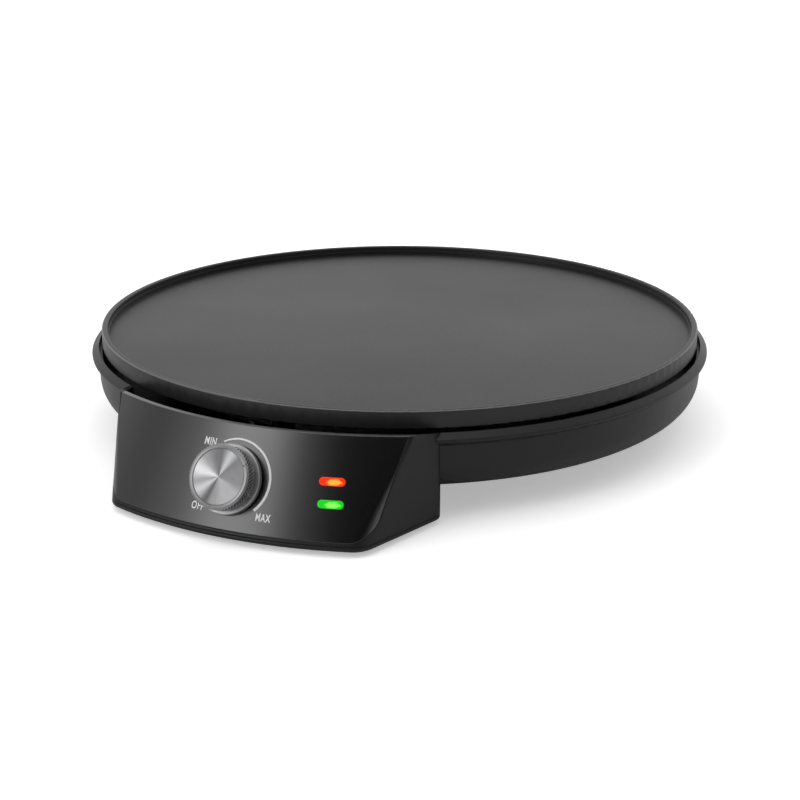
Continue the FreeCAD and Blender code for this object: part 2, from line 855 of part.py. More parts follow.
def knob_cap():
    """Metal cup over the knob: bevelled face, round grip."""
    low_z = knob_gap + knob_skirt_height
    cup = upright(knob_cap_radius, 0, 0, low_z, knob_height)
    rim = edges_at(cup, lambda c, e: abs(c.z - knob_height) < 0.05 and e.BoundBox.ZLength < 0.05)
    cup = cup.makeChamfer(knob_bevel, rim)
    hollow = upright(knob_cap_radius - knob_cap_wall, 0, 0, low_z - 1, knob_height - knob_cap_wall - 0.4)
    return placed(cup.cut(hollow), panel_frame(0, knob_z))


def shaft_profile(radius, flat, z0, z1):
    """A round bar with one flat; the flat lies on its upper side."""
    bar = upright(radius, 0, 0, z0, z1)
    return bar.cut(box(-radius - 1, radius + 1, radius - flat, radius + 1, z0 - 1, z1 + 1))


def knob_core():
    """Moulded skirt and hub that grips the shaft's flat end; the cap is pressed over it."""
    skirt_top = knob_gap + knob_skirt_height
    skirt = upright(knob_skirt_radius, 0, 0, knob_gap, skirt_top)
    rim = edges_at(skirt, lambda c, e: abs(c.z - skirt_top) < 0.05 and e.BoundBox.ZLength < 0.05)
    skirt = skirt.makeFillet(0.6, rim)
    plug = upright(
        knob_cap_radius - knob_cap_wall - 0.05, 0, 0, skirt_top - 0.5,
        knob_height - knob_cap_wall - 0.45
    )
    bore = shaft_profile(
        shaft_radius + shaft_fit, shaft_flat - spring_thickness - 0.1, knob_gap - 1, shaft_tip + 0.5
    )
    relief = upright(knob_hub_radius, 0, 0, knob_gap - 1, skirt_top).cut(
        upright(knob_hub_radius - 1.6, 0, 0, 0, far)
    )
    return placed(joined([skirt, plug]).cut([bore, relief]), panel_frame(0, knob_z))


def knob_spring():
    """Leaf spring between the shaft's flat and the knob's bore."""
    top = shaft_radius - shaft_flat
    leaf = box(
        -spring_width / 2, spring_width / 2, top + 0.02, top + 0.02 + spring_thickness, knob_gap + 1.5,
        shaft_tip - 0.5
    )
    return placed(leaf, panel_frame(0, knob_z))


def thermostat_shaft():
    """Setting shaft: round in the thermostat's neck, flatted in the knob."""
    round_part = upright(shaft_radius, 0, 0, -shaft_inner, shaft_flat_start)
    flat_part = shaft_profile(shaft_radius, shaft_flat, shaft_flat_start, shaft_tip)
    return placed(joined([round_part, flat_part]), panel_frame(0, knob_z))


def bracket_face():
    """Local depth of the pad's flat face, where the thermostat's bracket sits."""
    return -pod_front_wall - pad_depth


def thermostat_bracket():
    face = bracket_face()
    plate = box(
        -bracket_length / 2, bracket_length / 2, -bracket_width / 2, bracket_width / 2,
        face - bracket_thickness, face
    )
    upright_edges = edges_at(plate, lambda c, e: e.BoundBox.ZLength > bracket_thickness / 2)
    plate = plate.makeFillet(3, upright_edges)
    holes = [upright(neck_radius + screw_fit, 0, 0, -far, far)]
    holes += [
        upright(screw_m3_radius + screw_clearance, side * bracket_screw_x, 0, -far, far)
        for side in (-1, 1)
    ]
    return placed(plate.cut(holes), panel_frame(0, knob_z))


def thermostat_screws():
    seat = bracket_face() - bracket_thickness
    screw = pan_screw(screw_m3_radius, -panel_thickness - 1.0 - seat, m3_head_radius, m3_head_height)
    pieces = []
    for side in (-1, 1):
        place = FreeCAD.Placement(vec(side * bracket_screw_x, 0, seat), FreeCAD.Rotation())
        pieces.append(placed(placed(screw, place), panel_frame(0, knob_z)))
    return Part.makeCompound(pieces)


def thermostat_body():
    """Ceramic-bodied switch block with a threaded neck; the shaft turns inside it."""
    front = bracket_face() - bracket_thickness
    back = front - thermostat_depth
    half_width = thermostat_width / 2
    half_height = thermostat_height / 2
    block = box(-half_width, half_width, -half_height, half_height, back, front)
    block = block.makeFillet(1.2, edges_at(block, lambda c, e: e.BoundBox.ZLength > 1))
    neck = upright(neck_radius, 0, 0, front - 0.5, -panel_thickness - 0.6)
    capsule = upright(capsule_radius, 0, capsule_y, back - capsule_depth, back + 0.5)
    hole = upright(shaft_radius + shaft_fit, 0, 0, -shaft_inner - 0.1, 5)
    slots = [
        box(
            x - tab_width / 2 - 0.02, x + tab_width / 2 + 0.02,
            tab_y - 0.02, tab_y + tab_thickness + 0.02, back - 1, back + 2.5
        )
        for x in tab_places
    ]
    return placed(joined([block, neck, capsule]).cut([hole] + slots), panel_frame(0, knob_z))


def thermostat_tabs():
    """Two flat blades in the back of the switch block."""
    back = bracket_face() - bracket_thickness - thermostat_depth
    tabs = []
    for x in tab_places:
        blade = box(
            x - tab_width / 2, x + tab_width / 2, tab_y, tab_y + tab_thickness, back - tab_length,
            back + 2.4
        )
        tabs.append(placed(blade, panel_frame(0, knob_z)))
    return Part.makeCompound(tabs)


def thermostat_point(x, y, behind):
    """A point behind the switch block's back face, in the plate's frame."""
    back = bracket_face() - bracket_thickness - thermostat_depth
    return panel_frame(0, knob_z).multVec(vec(x, y, back - behind))


def under_plate(name):
    """Radius and centre of the rod that a clip holds against the plate, and the side of the clip's ear."""
    radius, (x, y), side = clip_seats[name]
    return radius, vec(x, y, plate_under_z - radius - rod_gap), side


def clip_screw_places():
    """Screw places of the two clips and of the earth lead, by name."""
    places = {"earth": earth_screw_place}
    for name, (radius, (x, y), side) in clip_seats.items():
        places[name] = (x + side * (radius + clip_thickness + clip_ear - clip_hole_inset), y)
    return places


def sensing_bulb():
    """Copper bulb along the plate's underside, rounded at both ends."""
    radius, centre, side = under_plate("bulb")
    half = vec(0, bulb_length / 2, 0)
    body = rod(radius, centre - half, centre + half)
    return body.makeFillet(1.5, edges_at(body, lambda c, e: e.BoundBox.YLength < 0.05))


def capillary_tube():
    """Fine copper tube from the thermostat's capsule over the bowl's sill to the bulb."""
    start = thermostat_point(0, capsule_y, capsule_depth)
    radius, centre, side = under_plate("bulb")
    end = centre - vec(0, bulb_length / 2, 0)
    points = [
        start,
        vec(0, start.y + 5, start.z - 2.66),
        vec(0, start.y + 12, start.z),
        vec(0, start.y + 16, start.z + 9),
        vec(0, start.y + 19, plate_under_z - 12),
        vec(0, start.y + 27, end.z - 2.5),
        vec(0, end.y - 12, end.z),
        end,
    ]
    return tube(points, capillary_radius, 6.0)


def strap(radius, centre, along, width, ear, side):
    """A sheet clip bent over a rod that lies under the plate, with one screwed ear."""
    thickness = clip_thickness
    across = vec(-along.y, along.x, 0) * side
    start = centre - along * (width / 2)
    end = centre + along * (width / 2)
    ring = rod(radius + screw_fit + thickness, start, end)
    ring = ring.cut(rod(radius + screw_fit, start - along, end + along))
    keep = upright(far, centre.x, centre.y, 0, plate_under_z - 0.05)
    reach = radius + screw_fit + thickness
    low_z = centre.z - reach
    saddle = ring.common(keep)
    flat = Part.makeBox(ear + thickness, width, thickness)
    place = centre + across * (reach - thickness)
    turn = FreeCAD.Rotation(vec(1, 0, 0), across)
    place.z = plate_under_z - thickness - 0.05
    offset = turn.multVec(vec(0, -width / 2, 0))
    flat.Placement = FreeCAD.Placement(place + offset, turn)
    web = Part.makeBox(thickness, width, plate_under_z - 0.05 - centre.z)
    web.Placement = FreeCAD.Placement(vec(place.x, place.y, centre.z) + offset, turn)
    return joined([saddle, flat, web])


def clip_with_hole(name):
    """The clip that holds the bulb or the fuse, with a hole for its screw."""
    radius, centre, side = under_plate(name)
    along = vec(0, 1, 0)
    clip = strap(radius, centre, along, clip_width, clip_ear, side)
    x, y = clip_screw_places()[name]
    clear = rod(radius + screw_fit, centre - along * far, centre + along * far)
    return clip.cut([upright(screw_m3_radius + screw_clearance, x, y, 0, far), clear])


def clip_screws():
    """Screws of the two clips and of the earth lead, up into the plate."""
    pieces = []
    for x, y in clip_screw_places().values():
        seat_z = plate_under_z - clip_thickness - 0.05
        screw = pan_screw(
            screw_m3_radius, clip_screw_bite + plate_under_z - seat_z, m3_head_radius, m3_head_height
        )
        pieces.append(placed(screw, FreeCAD.Placement(vec(x, y, seat_z), FreeCAD.Rotation())))
    return Part.makeCompound(pieces)


def pill(length, height, z0, z1):
    """A bar with round ends, lying across the panel."""
    half = (length - height) / 2
    ends = [upright(height / 2, x, 0, z0, z1) for x in (-half, half)]
    return joined([box(-half, half, -height / 2, height / 2, z0, z1)] + ends)


def indicator_lens(z):
    """A clear pill that fills its window, with a flange behind the panel."""
    front = pill(lens_length, lens_height, -panel_thickness - lens_flange_depth, lens_proud)
    flange_size = 2 * lens_flange
    flange = pill(
        lens_length + flange_size, lens_height + flange_size,
        -panel_thickness - lens_sag - lens_flange_depth, -panel_thickness - lens_sag
    )
    top = edges_at(front, lambda c, e: abs(c.z - lens_proud) < 0.02 and e.BoundBox.ZLength < 0.02)
    front = front.makeFillet(lens_proud * 0.9, top)
    return placed(joined([front, flange]), panel_frame(lens_azimuth, z))


def indicator_lamp(z):
    """Small glass neon lamp lying behind its lens, its leads in the holder."""
    bulb = upright(lamp_radius, 0, 0, lamp_back, lamp_back + lamp_length)
    tip = edges_at(
        bulb, lambda c, e: abs(c.z - lamp_back - lamp_length) < 0.02 and e.BoundBox.ZLength < 0.02
    )
    return placed(bulb.makeFillet(lamp_radius * 0.8, tip), panel_frame(lens_azimuth, z))


def lamp_holder():
    """Carrier with a socket for each lamp and two arms that reach forward to the lenses' flanges."""
    middle_z = (lens_places[0][1] + lens_places[1][1]) / 2
    frame = panel_frame(lens_azimuth, middle_z)
    half_width = lamp_window_width / 2 - 0.3
    half_height = lamp_window_height / 2 - 0.3
    base = box(-half_width, half_width, -half_height, half_height, lamp_back - 2, lamp_back + 2)
    arms = [
        box(x - 0.8, x + 0.8, -half_height, half_height, lamp_back, -panel_thickness - lens_arm_gap)
        for x in (-half_width + 0.8, half_width - 0.8)
    ]
    holder = placed(joined([base] + arms), frame)
    sockets = [
        placed(upright(lamp_radius + screw_fit, 0, 0, lamp_back, far), panel_frame(lens_azimuth, z)) for name,
        z in lens_places
    ]
    return holder.cut(sockets)


def cord_gland():
    """Snap-in bush: outer flange, neck through the wall, inner barb, clear bore for the mains lead."""
    outer = gland_axis_rod(gland_flange_radius, gland_pad_y, gland_pad_y + gland_flange_thickness)
    outer = outer.makeFillet(
        0.7,
        edges_at(
            outer,
            lambda c, e: c.y > gland_pad_y + gland_flange_thickness - 0.05 and e.BoundBox.YLength < 0.05
        )
    )
    inner_y = gland_pad_y - gland_pad_depth
    neck = gland_axis_rod(gland_neck_radius, inner_y - gland_barb_length - gland_nose, gland_pad_y + 0.5)
    barb = gland_axis_rod(gland_barb_radius, inner_y - gland_barb_length, inner_y)
    bore = gland_axis_rod(gland_bore_radius, 0, far)
    return joined([outer, neck, barb]).cut(bore)


def terminal_block():
    """Block for the mains lead on the bowl's floor, with three wire holes and three screw holes."""
    x0 = -block_width / 2
    block = box(x0, -x0, block_y, block_y + block_depth, floor_z, floor_z + block_height)
    block = block.makeFillet(1, edges_at(block, lambda c, e: e.BoundBox.ZLength > 1))
    holes = []
    wire_z = floor_z + block_wire_height
    top_z = floor_z + block_height
    for i in (-1, 0, 1):
        x = i * block_pitch
        holes.append(
            rod(wire_radius + 0.6, vec(x, block_y - 1, wire_z), vec(x, block_y + block_depth + 1, wire_z))
        )
        holes.append(
            upright(block_screw_radius + screw_fit, x, block_y + block_depth / 2, wire_z, top_z + 1)
        )
    return block.cut(holes)


def terminal_screws():
    """Brass clamp screws in the terminal block."""
    length = block_height - block_wire_height - 2.5
    pieces = []
    for i in (-1, 0, 1):
        top_z = floor_z + block_height - 1
        screw = upright(
            block_screw_radius, i * block_pitch, block_y + block_depth / 2, top_z - length, top_z
        )
        slot = box(
            i * block_pitch - 3, i * block_pitch + 3, block_y + block_depth / 2 - 0.4,
            block_y + block_depth / 2 + 0.4, top_z - 0.8, top_z + 1
        )
        pieces.append(screw.cut(slot))
    return Part.makeCompound(pieces)


def block_point(i, out=0.0):
    """Where a wire leaves the terminal block's front."""
    return vec(i * block_pitch, block_y + 4 - out, floor_z + block_wire_height)


def over_the_sill(x, lift=0.0):
    """Points that take a wire from the pod over the edge of the bowl's floor."""
    low = vec(x, pod_rear_y - 14, wire_floor_z - 1.5 + lift)
    high = vec(1.5 * x, pod_rear_y - 1, wire_floor_z + 2.6 + lift)
    return [low, high]


def tab_points(x):
    """Points along the underside of one of the thermostat's blades, from the block outwards."""
    y = tab_y - wire_radius - 0.05
    return [thermostat_point(x, y, 1.5), thermostat_point(x, y, tab_length + 2.5)]


def live_wire():
    """From the terminal block along the bowl's floor to the thermostat's right blade."""
    sill = over_the_sill(tab_places[1])
    blade = tab_points(tab_places[1])
    return tube([
        block_point(0),
        block_point(0, 12),
        vec(24, block_y - 32, wire_floor_z),
        vec(32, 20, wire_floor_z),
        vec(32, -60, wire_floor_z),
        vec(25, pod_rear_y + 28, wire_floor_z),
        sill[1],
        sill[0],
        blade[1],
        blade[0],
    ], wire_radius, 12.0)


def neutral_wire():
    """From the terminal block along the bowl's floor to the element's right pin."""
    tail = element_tail(1)
    end_z = tail.z - element_pin_length + 1
    beside = tail.x - element_pin_radius - wire_radius - 0.05
    return tube([
        block_point(1),
        block_point(1, 14),
        vec(40, block_y - 36, wire_floor_z),
        vec(44, 20, wire_floor_z),
        vec(44, -40, wire_floor_z),
        vec(beside, tail.y + 16, wire_floor_z),
        vec(beside, tail.y - 1, end_z),
    ], wire_radius, 12.0)


def earth_wire():
    """From the terminal block up through the shield to the plate's earth screw."""
    x, y = earth_screw_place
    return tube([
        block_point(-1),
        block_point(-1, 12),
        vec(x - 12, y + 40, wire_floor_z + 2),
        vec(x - 7, y + 8, wire_floor_z + 5),
        vec(x - 5, y, shield_z + 3),
        vec(x - 4.6, y, plate_under_z - 1.4),
    ], wire_radius, 8.0)


def heater_wire():
    """From the thermostat's left blade to the element's left pin."""
    sill = over_the_sill(tab_places[0])
    blade = tab_points(tab_places[0])
    tail = element_tail(-1)
    end_z = tail.z - element_pin_length + 1
    beside = tail.x + element_pin_radius + wire_radius + 0.05
    return tube([
        blade[0],
        blade[1],
        sill[0],
        sill[1],
        vec(-26, pod_rear_y + 18, wire_floor_z + 2),
        vec(beside + 2, tail.y - 9, wire_floor_z + 1),
        vec(beside, tail.y, end_z),
    ], wire_radius, 8.0)


def thermal_fuse():
    """Cut-out fuse in a sleeve, held against the plate's underside."""
    radius, centre, side = under_plate("fuse")
    half = fuse_length / 2
    along = vec(0, 1, 0)
    sleeve = rod(radius, centre - along * half, centre + along * half)
    reach = half + fuse_lead_length
    leads = [rod(fuse_lead_radius, centre + along * s * half, centre + along * s * reach) for s in (-1, 1)]
    return joined([sleeve] + leads)


pieces = {
    "heating_plate": heating_plate,
    "heating_element": heating_element,
    "element_terminals": element_terminals,
    "heat_shield": heat_shield,
    "plate_spacers": plate_spacers,
    "plate_screws": plate_screws,
    "base_housing": base_housing,
    "control_panel": control_panel,
    "panel_screws": panel_screws,
    "pod_cover": pod_cover,
    "cover_screws": cover_screws,
    "front_feet": front_feet,
    "rear_feet": rear_feet,
    "knob_cap": knob_cap,
    "knob_core": knob_core,
    "knob_spring": knob_spring,
    "thermostat_shaft": thermostat_shaft,
    "thermostat_body": thermostat_body,
    "thermostat_bracket": thermostat_bracket,
    "thermostat_screws": thermostat_screws,
    "thermostat_tabs": thermostat_tabs,
    "capillary_tube": capillary_tube,
    "sensing_bulb": sensing_bulb,
    "bulb_clip": lambda: clip_with_hole("bulb"),
    "thermal_fuse": thermal_fuse,
    "fuse_clip": lambda: clip_with_hole("fuse"),
    "clip_screws": clip_screws,
    "power_lens": lambda: indicator_lens(lens_places[0][1]),
    "ready_lens": lambda: indicator_lens(lens_places[1][1]),
    "power_lamp": lambda: indicator_lamp(lens_places[0][1]),
    "ready_lamp": lambda: indicator_lamp(lens_places[1][1]),
    "lamp_holder": lamp_holder,
    "cord_gland": cord_gland,
    "terminal_block": terminal_block,
    "terminal_screws": terminal_screws,
    "live_wire": live_wire,
    "neutral_wire": neutral_wire,
    "earth_wire": earth_wire,
    "heater_wire": heater_wire,
}

os.makedirs("parts", exist_ok=True)
to_footprint_centre = vec(0, axis_y, 0)
for name, make in pieces.items():
    shape = make()
    shape.translate(to_footprint_centre)
    shape.exportStep("parts/" + name + ".step")
    print(name, shape.isValid(), len(shape.Solids), round(shape.Volume))
knob_place = panel_frame(0, knob_z)
print(
    "plate axis y", axis_y, "knob at", knob_place.Base + to_footprint_centre, "axis",
    knob_place.Rotation.multVec(z_axis)
)
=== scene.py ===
import json
import math

import bmesh
import bpy
import numpy as np
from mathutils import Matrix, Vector


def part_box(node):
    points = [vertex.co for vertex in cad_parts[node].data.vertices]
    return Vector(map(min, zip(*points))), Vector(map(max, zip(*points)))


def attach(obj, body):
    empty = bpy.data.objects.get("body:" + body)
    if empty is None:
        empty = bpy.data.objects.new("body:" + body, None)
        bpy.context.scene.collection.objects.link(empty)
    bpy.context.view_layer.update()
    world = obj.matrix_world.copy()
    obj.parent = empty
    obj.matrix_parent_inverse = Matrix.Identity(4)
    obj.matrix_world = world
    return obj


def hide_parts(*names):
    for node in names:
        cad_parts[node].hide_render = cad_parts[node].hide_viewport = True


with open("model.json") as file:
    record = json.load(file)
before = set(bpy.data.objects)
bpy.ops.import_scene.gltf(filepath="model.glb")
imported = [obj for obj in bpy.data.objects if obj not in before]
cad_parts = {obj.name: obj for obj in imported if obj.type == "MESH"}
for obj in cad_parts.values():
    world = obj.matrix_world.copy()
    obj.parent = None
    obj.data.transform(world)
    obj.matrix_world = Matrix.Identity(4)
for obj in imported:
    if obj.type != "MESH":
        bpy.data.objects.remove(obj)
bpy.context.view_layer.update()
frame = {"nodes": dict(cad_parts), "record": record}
record = frame["record"]

# The base: one bowl and pod moulded in satin black plastic, with a cover screwed under the pod.
# Its shapes come from the CAD nodes; a merged copy shades smoothly over the curved walls
# and keeps a crisp line at every corner.
SHARP_ANGLE = math.radians(32)
MERGE_DISTANCE = 1e-6
ROUND_FROM_RADIUS = 0.1
WIDEST_CHORD = math.radians(9)
NARROWEST_CHORD = math.radians(0.8)
CHORD_CUTS = 3
FLAT_NORMAL = 0.9999
SIDEWAYS_LIMIT = 0.05
RING_DIGITS = 5
RING_TOLERANCE = 1e-6
RING_GAP = 0.15
PLATE_AXIS_Y = (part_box("heating_plate")[0][1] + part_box("heating_plate")[1][1]) / 2

body_of_node = {n: b for b, names in record["behaviour"]["bodies"].items() for n in names}
slot_of_node = {s["node"]: s["material_slot"] for s in record["subparts"]}


def true_circles(work):
    """Splits short chords of circles about the plate's axis and pushes their new points out to the circle."""
    kept_radius = work.verts.layers.float.new("radius")
    for vertex in work.verts:
        vertex[kept_radius] = math.hypot(vertex.co.x, vertex.co.y - PLATE_AXIS_Y)

    def turned_face(face):
        centre = face.calc_center_median()
        outward = Vector((centre.x, centre.y - PLATE_AXIS_Y, 0)).normalized()
        return abs(face.normal.dot(Vector((-outward.y, outward.x, 0)))) < SIDEWAYS_LIMIT

    def bearing(vertex):
        return math.atan2(vertex.co.y - PLATE_AXIS_Y, vertex.co.x)

    turned = {face: turned_face(face) for face in work.faces}
    level = {face: abs(face.normal.z) > FLAT_NORMAL for face in work.faces}
    chords = []
    for edge in work.edges:
        far_out = min(v[kept_radius] for v in edge.verts) > ROUND_FROM_RADIUS
        on_wall = all(turned[f] for f in edge.link_faces) and not all(level[f] for f in edge.link_faces)
        if far_out and on_wall:
            span = abs(bearing(edge.verts[0]) - bearing(edge.verts[1]))
            if NARROWEST_CHORD < min(span, 2 * math.pi - span) < WIDEST_CHORD:
                chords.append(edge)
    bmesh.ops.subdivide_edges(work, edges=chords, cuts=CHORD_CUTS)
    for vertex in work.verts:
        now = math.hypot(vertex.co.x, vertex.co.y - PLATE_AXIS_Y)
        if now > ROUND_FROM_RADIUS and vertex[kept_radius] > now:
            vertex.co.x *= vertex[kept_radius] / now
            vertex.co.y = PLATE_AXIS_Y + (vertex.co.y - PLATE_AXIS_Y) * vertex[kept_radius] / now
    bmesh.ops.triangulate(work, faces=[f for f in work.faces if len(f.verts) > 3])
    work.normal_update()


def vectors_of(items, name):
    """The named vector of each item, one row for each."""
    values = np.empty(len(items) * 3)
    items.foreach_get(name, values)
    return values.reshape(-1, 3)


def corner_vertices(mesh):
    """The vertex at each corner of the mesh's faces."""
    index = np.empty(len(mesh.loops), dtype=np.int32)
    mesh.loops.foreach_get("vertex_index", index)
    return index


def even_normals(mesh):
    """Gives each ring of corners about the plate's axis one normal, so its turned walls shade evenly.

    A ring is the corners with the same radius and height whose tilts lie close together. Their mean
    tilt t gives the normal: cos(t) outwards from the axis and sin(t) upwards.
    """
    places = vectors_of(mesh.vertices, "co")[corner_vertices(mesh)] - (0, PLATE_AXIS_Y, 0)
    normals = vectors_of(mesh.corner_normals, "vector")
    level = np.repeat(np.abs(vectors_of(mesh.polygons, "normal")[:, 2]) > FLAT_NORMAL, 3)
    radius = np.hypot(places[:, 0], places[:, 1])
    outward = places[:, :2] / np.maximum(radius, 1e-9)[:, None]
    radial = (normals[:, :2] * outward).sum(axis=1)
    sideways = normals[:, 1] * outward[:, 0] - normals[:, 0] * outward[:, 1]
    tilt = np.arctan2(normals[:, 2], radial)
    turned = (radius > ROUND_FROM_RADIUS) & (np.abs(sideways) < SIDEWAYS_LIMIT) & ~level
    ring = np.round(np.stack([radius, places[:, 2]]), RING_DIGITS)
    order = np.lexsort((tilt, ring[1], ring[0]))
    order = order[turned[order]]
    if len(order) == 0:
        return
    next_ring = np.abs(np.diff(ring[:, order], axis=1)).max(axis=0) > RING_TOLERANCE
    group = np.concatenate([[0], np.cumsum(next_ring | (np.diff(tilt[order]) > RING_GAP))])
    even = (np.bincount(group, weights=tilt[order]) / np.bincount(group))[group]
    normals[order, :2] = outward[order] * np.cos(even)[:, None]
    normals[order, 2] = np.sin(even)
    mesh.normals_split_custom_set(normals.tolist())


def smooth_copy(node, material):
    """A copy of a CAD node with its loose triangles merged, smooth but for edges over the sharp angle."""
    mesh = frame["nodes"][node].data.copy()
    work = bmesh.new()
    work.from_mesh(mesh)
    bmesh.ops.remove_doubles(work, verts=work.verts, dist=MERGE_DISTANCE)
    true_circles(work)
    for edge in work.edges:
        edge.smooth = len(edge.link_faces) == 2 and edge.calc_face_angle(math.pi) < SHARP_ANGLE
    for face in work.faces:
        face.smooth = abs(face.normal.z) < FLAT_NORMAL
    work.to_mesh(mesh)
    work.free()
    even_normals(mesh)
    mesh.materials.clear()
    mesh.materials.append(material)
    piece = bpy.data.objects.new(node + "_skin", mesh)
    bpy.context.scene.collection.objects.link(piece)
    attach(piece, body_of_node[node])
    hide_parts(node)


def new_group(name, inputs, outputs):
    """An empty shader node group with float or vector inputs and the named outputs."""
    tree = bpy.data.node_groups.new(name, "ShaderNodeTree")
    for label, kind, value in inputs:
        socket = tree.interface.new_socket(label, in_out="INPUT", socket_type=kind)
        if value is not None:
            socket.default_value = value
    for label, kind in outputs:
        tree.interface.new_socket(label, in_out="OUTPUT", socket_type=kind)
    return tree, tree.nodes.new("NodeGroupInput"), tree.nodes.new("NodeGroupOutput")


def feed(tree, socket, value):
    """Links a socket to the value if that is a socket too, or else sets it."""
    if isinstance(value, bpy.types.NodeSocket):
        tree.links.new(value, socket)
    else:
        socket.default_value = value


def math_node(tree, operation, a, b=0.0, clamp=False):
    """A Math node whose inputs are sockets or numbers; returns its output."""
    node = tree.nodes.new("ShaderNodeMath")
    node.operation = operation
    node.use_clamp = clamp
    feed(tree, node.inputs[0], a)
    feed(tree, node.inputs[1], b)
    return node.outputs[0]


def product(tree, a, b):
    """Two sockets or numbers multiplied."""
    return math_node(tree, "MULTIPLY", a, b)


def along(tree, vector, direction):
    """How far a vector reaches along a direction."""
    node = tree.nodes.new("ShaderNodeVectorMath")
    node.operation = "DOT_PRODUCT"
    feed(tree, node.inputs[0], vector)
    feed(tree, node.inputs[1], direction)
    return node.outputs["Value"]


def object_place(tree):
    """The point's place in the object's own coordinates."""
    return tree.nodes.new("ShaderNodeTexCoord").outputs["Object"]


def coloured_mix(tree, factor, dark, light):
    """A colour that goes from dark to light with the factor."""
    mix = tree.nodes.new("ShaderNodeMix")
    mix.data_type = "RGBA"
    feed(tree, mix.inputs[0], factor)
    for socket, colour in ((mix.inputs[6], dark), (mix.inputs[7], light)):
        feed(tree, socket, colour if isinstance(colour, bpy.types.NodeSocket) else (*colour, 1.0))
    return mix.outputs[2]


def graded(tree, value, low, high):
    """A 0 to 1 value moved to the range low to high."""
    node = tree.nodes.new("ShaderNodeMapRange")
    tree.links.new(value, node.inputs["Value"])
    node.inputs["To Min"].default_value = low
    node.inputs["To Max"].default_value = high
    return node.outputs[0]


def moulded_grain_group():
    """Two sizes of noise: a fine height for bumps and a broad tone for colour and gloss."""
    tree, inside, outside = new_group(
        "moulded_grain",
        [
            ("Vector", "NodeSocketVector", None),
            ("Fine Scale", "NodeSocketFloat", 2500.0),
            ("Broad Scale", "NodeSocketFloat", 30.0),
        ],
        [("Height", "NodeSocketFloat"), ("Tone", "NodeSocketFloat")],
    )
    for scale, detail, out in (("Fine Scale", 2.0, "Height"), ("Broad Scale", 4.0, "Tone")):
        noise = tree.nodes.new("ShaderNodeTexNoise")
        noise.inputs["Detail"].default_value = detail
        tree.links.new(inside.outputs["Vector"], noise.inputs["Vector"])
        tree.links.new(inside.outputs[scale], noise.inputs["Scale"])
        tree.links.new(noise.outputs["Fac"], outside.inputs[out])
    return tree


BEVEL_SAMPLES = 4
EDGE_GAIN = 6.0


def soft_edge_group():
    """Rounds sharp edges in the normal, and gives a mask that is white along them."""
    tree, inside, outside = new_group(
        "soft_edge",
        [("Radius", "NodeSocketFloat", 0.0004)],
        [("Normal", "NodeSocketVector"), ("Edge", "NodeSocketFloat")],
    )
    bevel = tree.nodes.new("ShaderNodeBevel")
    bevel.samples = BEVEL_SAMPLES
    tree.links.new(inside.outputs["Radius"], bevel.inputs["Radius"])
    true_normal = tree.nodes.new("ShaderNodeNewGeometry").outputs["Normal"]
    turned_off = math_node(tree, "SUBTRACT", 1.0, along(tree, bevel.outputs[0], true_normal))
    edge = math_node(tree, "MULTIPLY", turned_off, EDGE_GAIN, clamp=True)
    tree.links.new(edge, outside.inputs["Edge"])
    tree.links.new(bevel.outputs[0], outside.inputs["Normal"])
    return tree


moulded_grain = moulded_grain_group()
soft_edge = soft_edge_group()
GLOSS_SPREAD = 0.15
WEAR_AND_HIGHLIGHT_SHARE = 0.6


def finish(
    name, colour, roughness, metallic=0.0, specular=0.5, spread=0.12,
    fine=2500.0, broad=30.0, bump=0.00002, edge=0.0003, wear_and_highlight=0.0,
):
    """A material with grain in its bump, tone in its colour and gloss, and softened edges lightened in
    colour, as wear on metal and as a painted highlight on the gloss panel.
    """
    material = bpy.data.materials.new(name)
    material.use_nodes = True
    tree = material.node_tree
    shader = tree.nodes["Principled BSDF"]
    shader.inputs["Metallic"].default_value = metallic
    shader.inputs["Specular IOR Level"].default_value = specular
    grain = tree.nodes.new("ShaderNodeGroup")
    grain.node_tree = moulded_grain
    grain.inputs["Fine Scale"].default_value = fine
    grain.inputs["Broad Scale"].default_value = broad
    tree.links.new(object_place(tree), grain.inputs["Vector"])
    edges = tree.nodes.new("ShaderNodeGroup")
    edges.node_tree = soft_edge
    edges.inputs["Radius"].default_value = edge
    dark = [c * (1 - spread) for c in colour]
    light = [min(1.0, c * (1 + spread)) for c in colour]
    base = coloured_mix(tree, grain.outputs["Tone"], dark, light)
    # Lighter edges: wear on the metal finishes, a painted highlight on the gloss panel.
    if wear_and_highlight:
        worn_and_lit = [min(1.0, c + wear_and_highlight) for c in colour]
        base = coloured_mix(tree, product(tree, edges.outputs["Edge"], WEAR_AND_HIGHLIGHT_SHARE), base, worn_and_lit)
    tree.links.new(base, shader.inputs["Base Color"])
    smoother, rougher = roughness * (1 - GLOSS_SPREAD), roughness * (1 + GLOSS_SPREAD)
    tree.links.new(graded(tree, grain.outputs["Tone"], smoother, rougher), shader.inputs["Roughness"])
    relief = tree.nodes.new("ShaderNodeBump")
    relief.inputs["Distance"].default_value = bump
    relief.inputs["Strength"].default_value = 1.0
    tree.links.new(grain.outputs["Height"], relief.inputs["Height"])
    tree.links.new(edges.outputs["Normal"], relief.inputs["Normal"])
    tree.links.new(relief.outputs["Normal"], shader.inputs["Normal"])
    return material


satin_black = finish(
    "satin_black_plastic", (0.006, 0.006, 0.0064), 0.42,
    specular=0.3, spread=0.1, fine=3200.0, bump=0.000012, edge=0.0005,
)
smooth_copy("base_housing", satin_black)
smooth_copy("pod_cover", satin_black)

# The control panel: a curved strip of gloss black plastic, polished, let flush into the pod's front.
# Its surface is part of a cone about the plate's axis, so the dial's print is laid on the same cone.
# The panel's edges are lighter in colour: a painted highlight.
gloss_black = finish(
    "gloss_black_panel", (0.003, 0.003, 0.0033), 0.2,
    specular=0.95, spread=0.1, fine=900.0, broad=12.0, bump=0.000001, edge=0.00035, wear_and_highlight=0.12,
)
smooth_copy("control_panel", gloss_black)

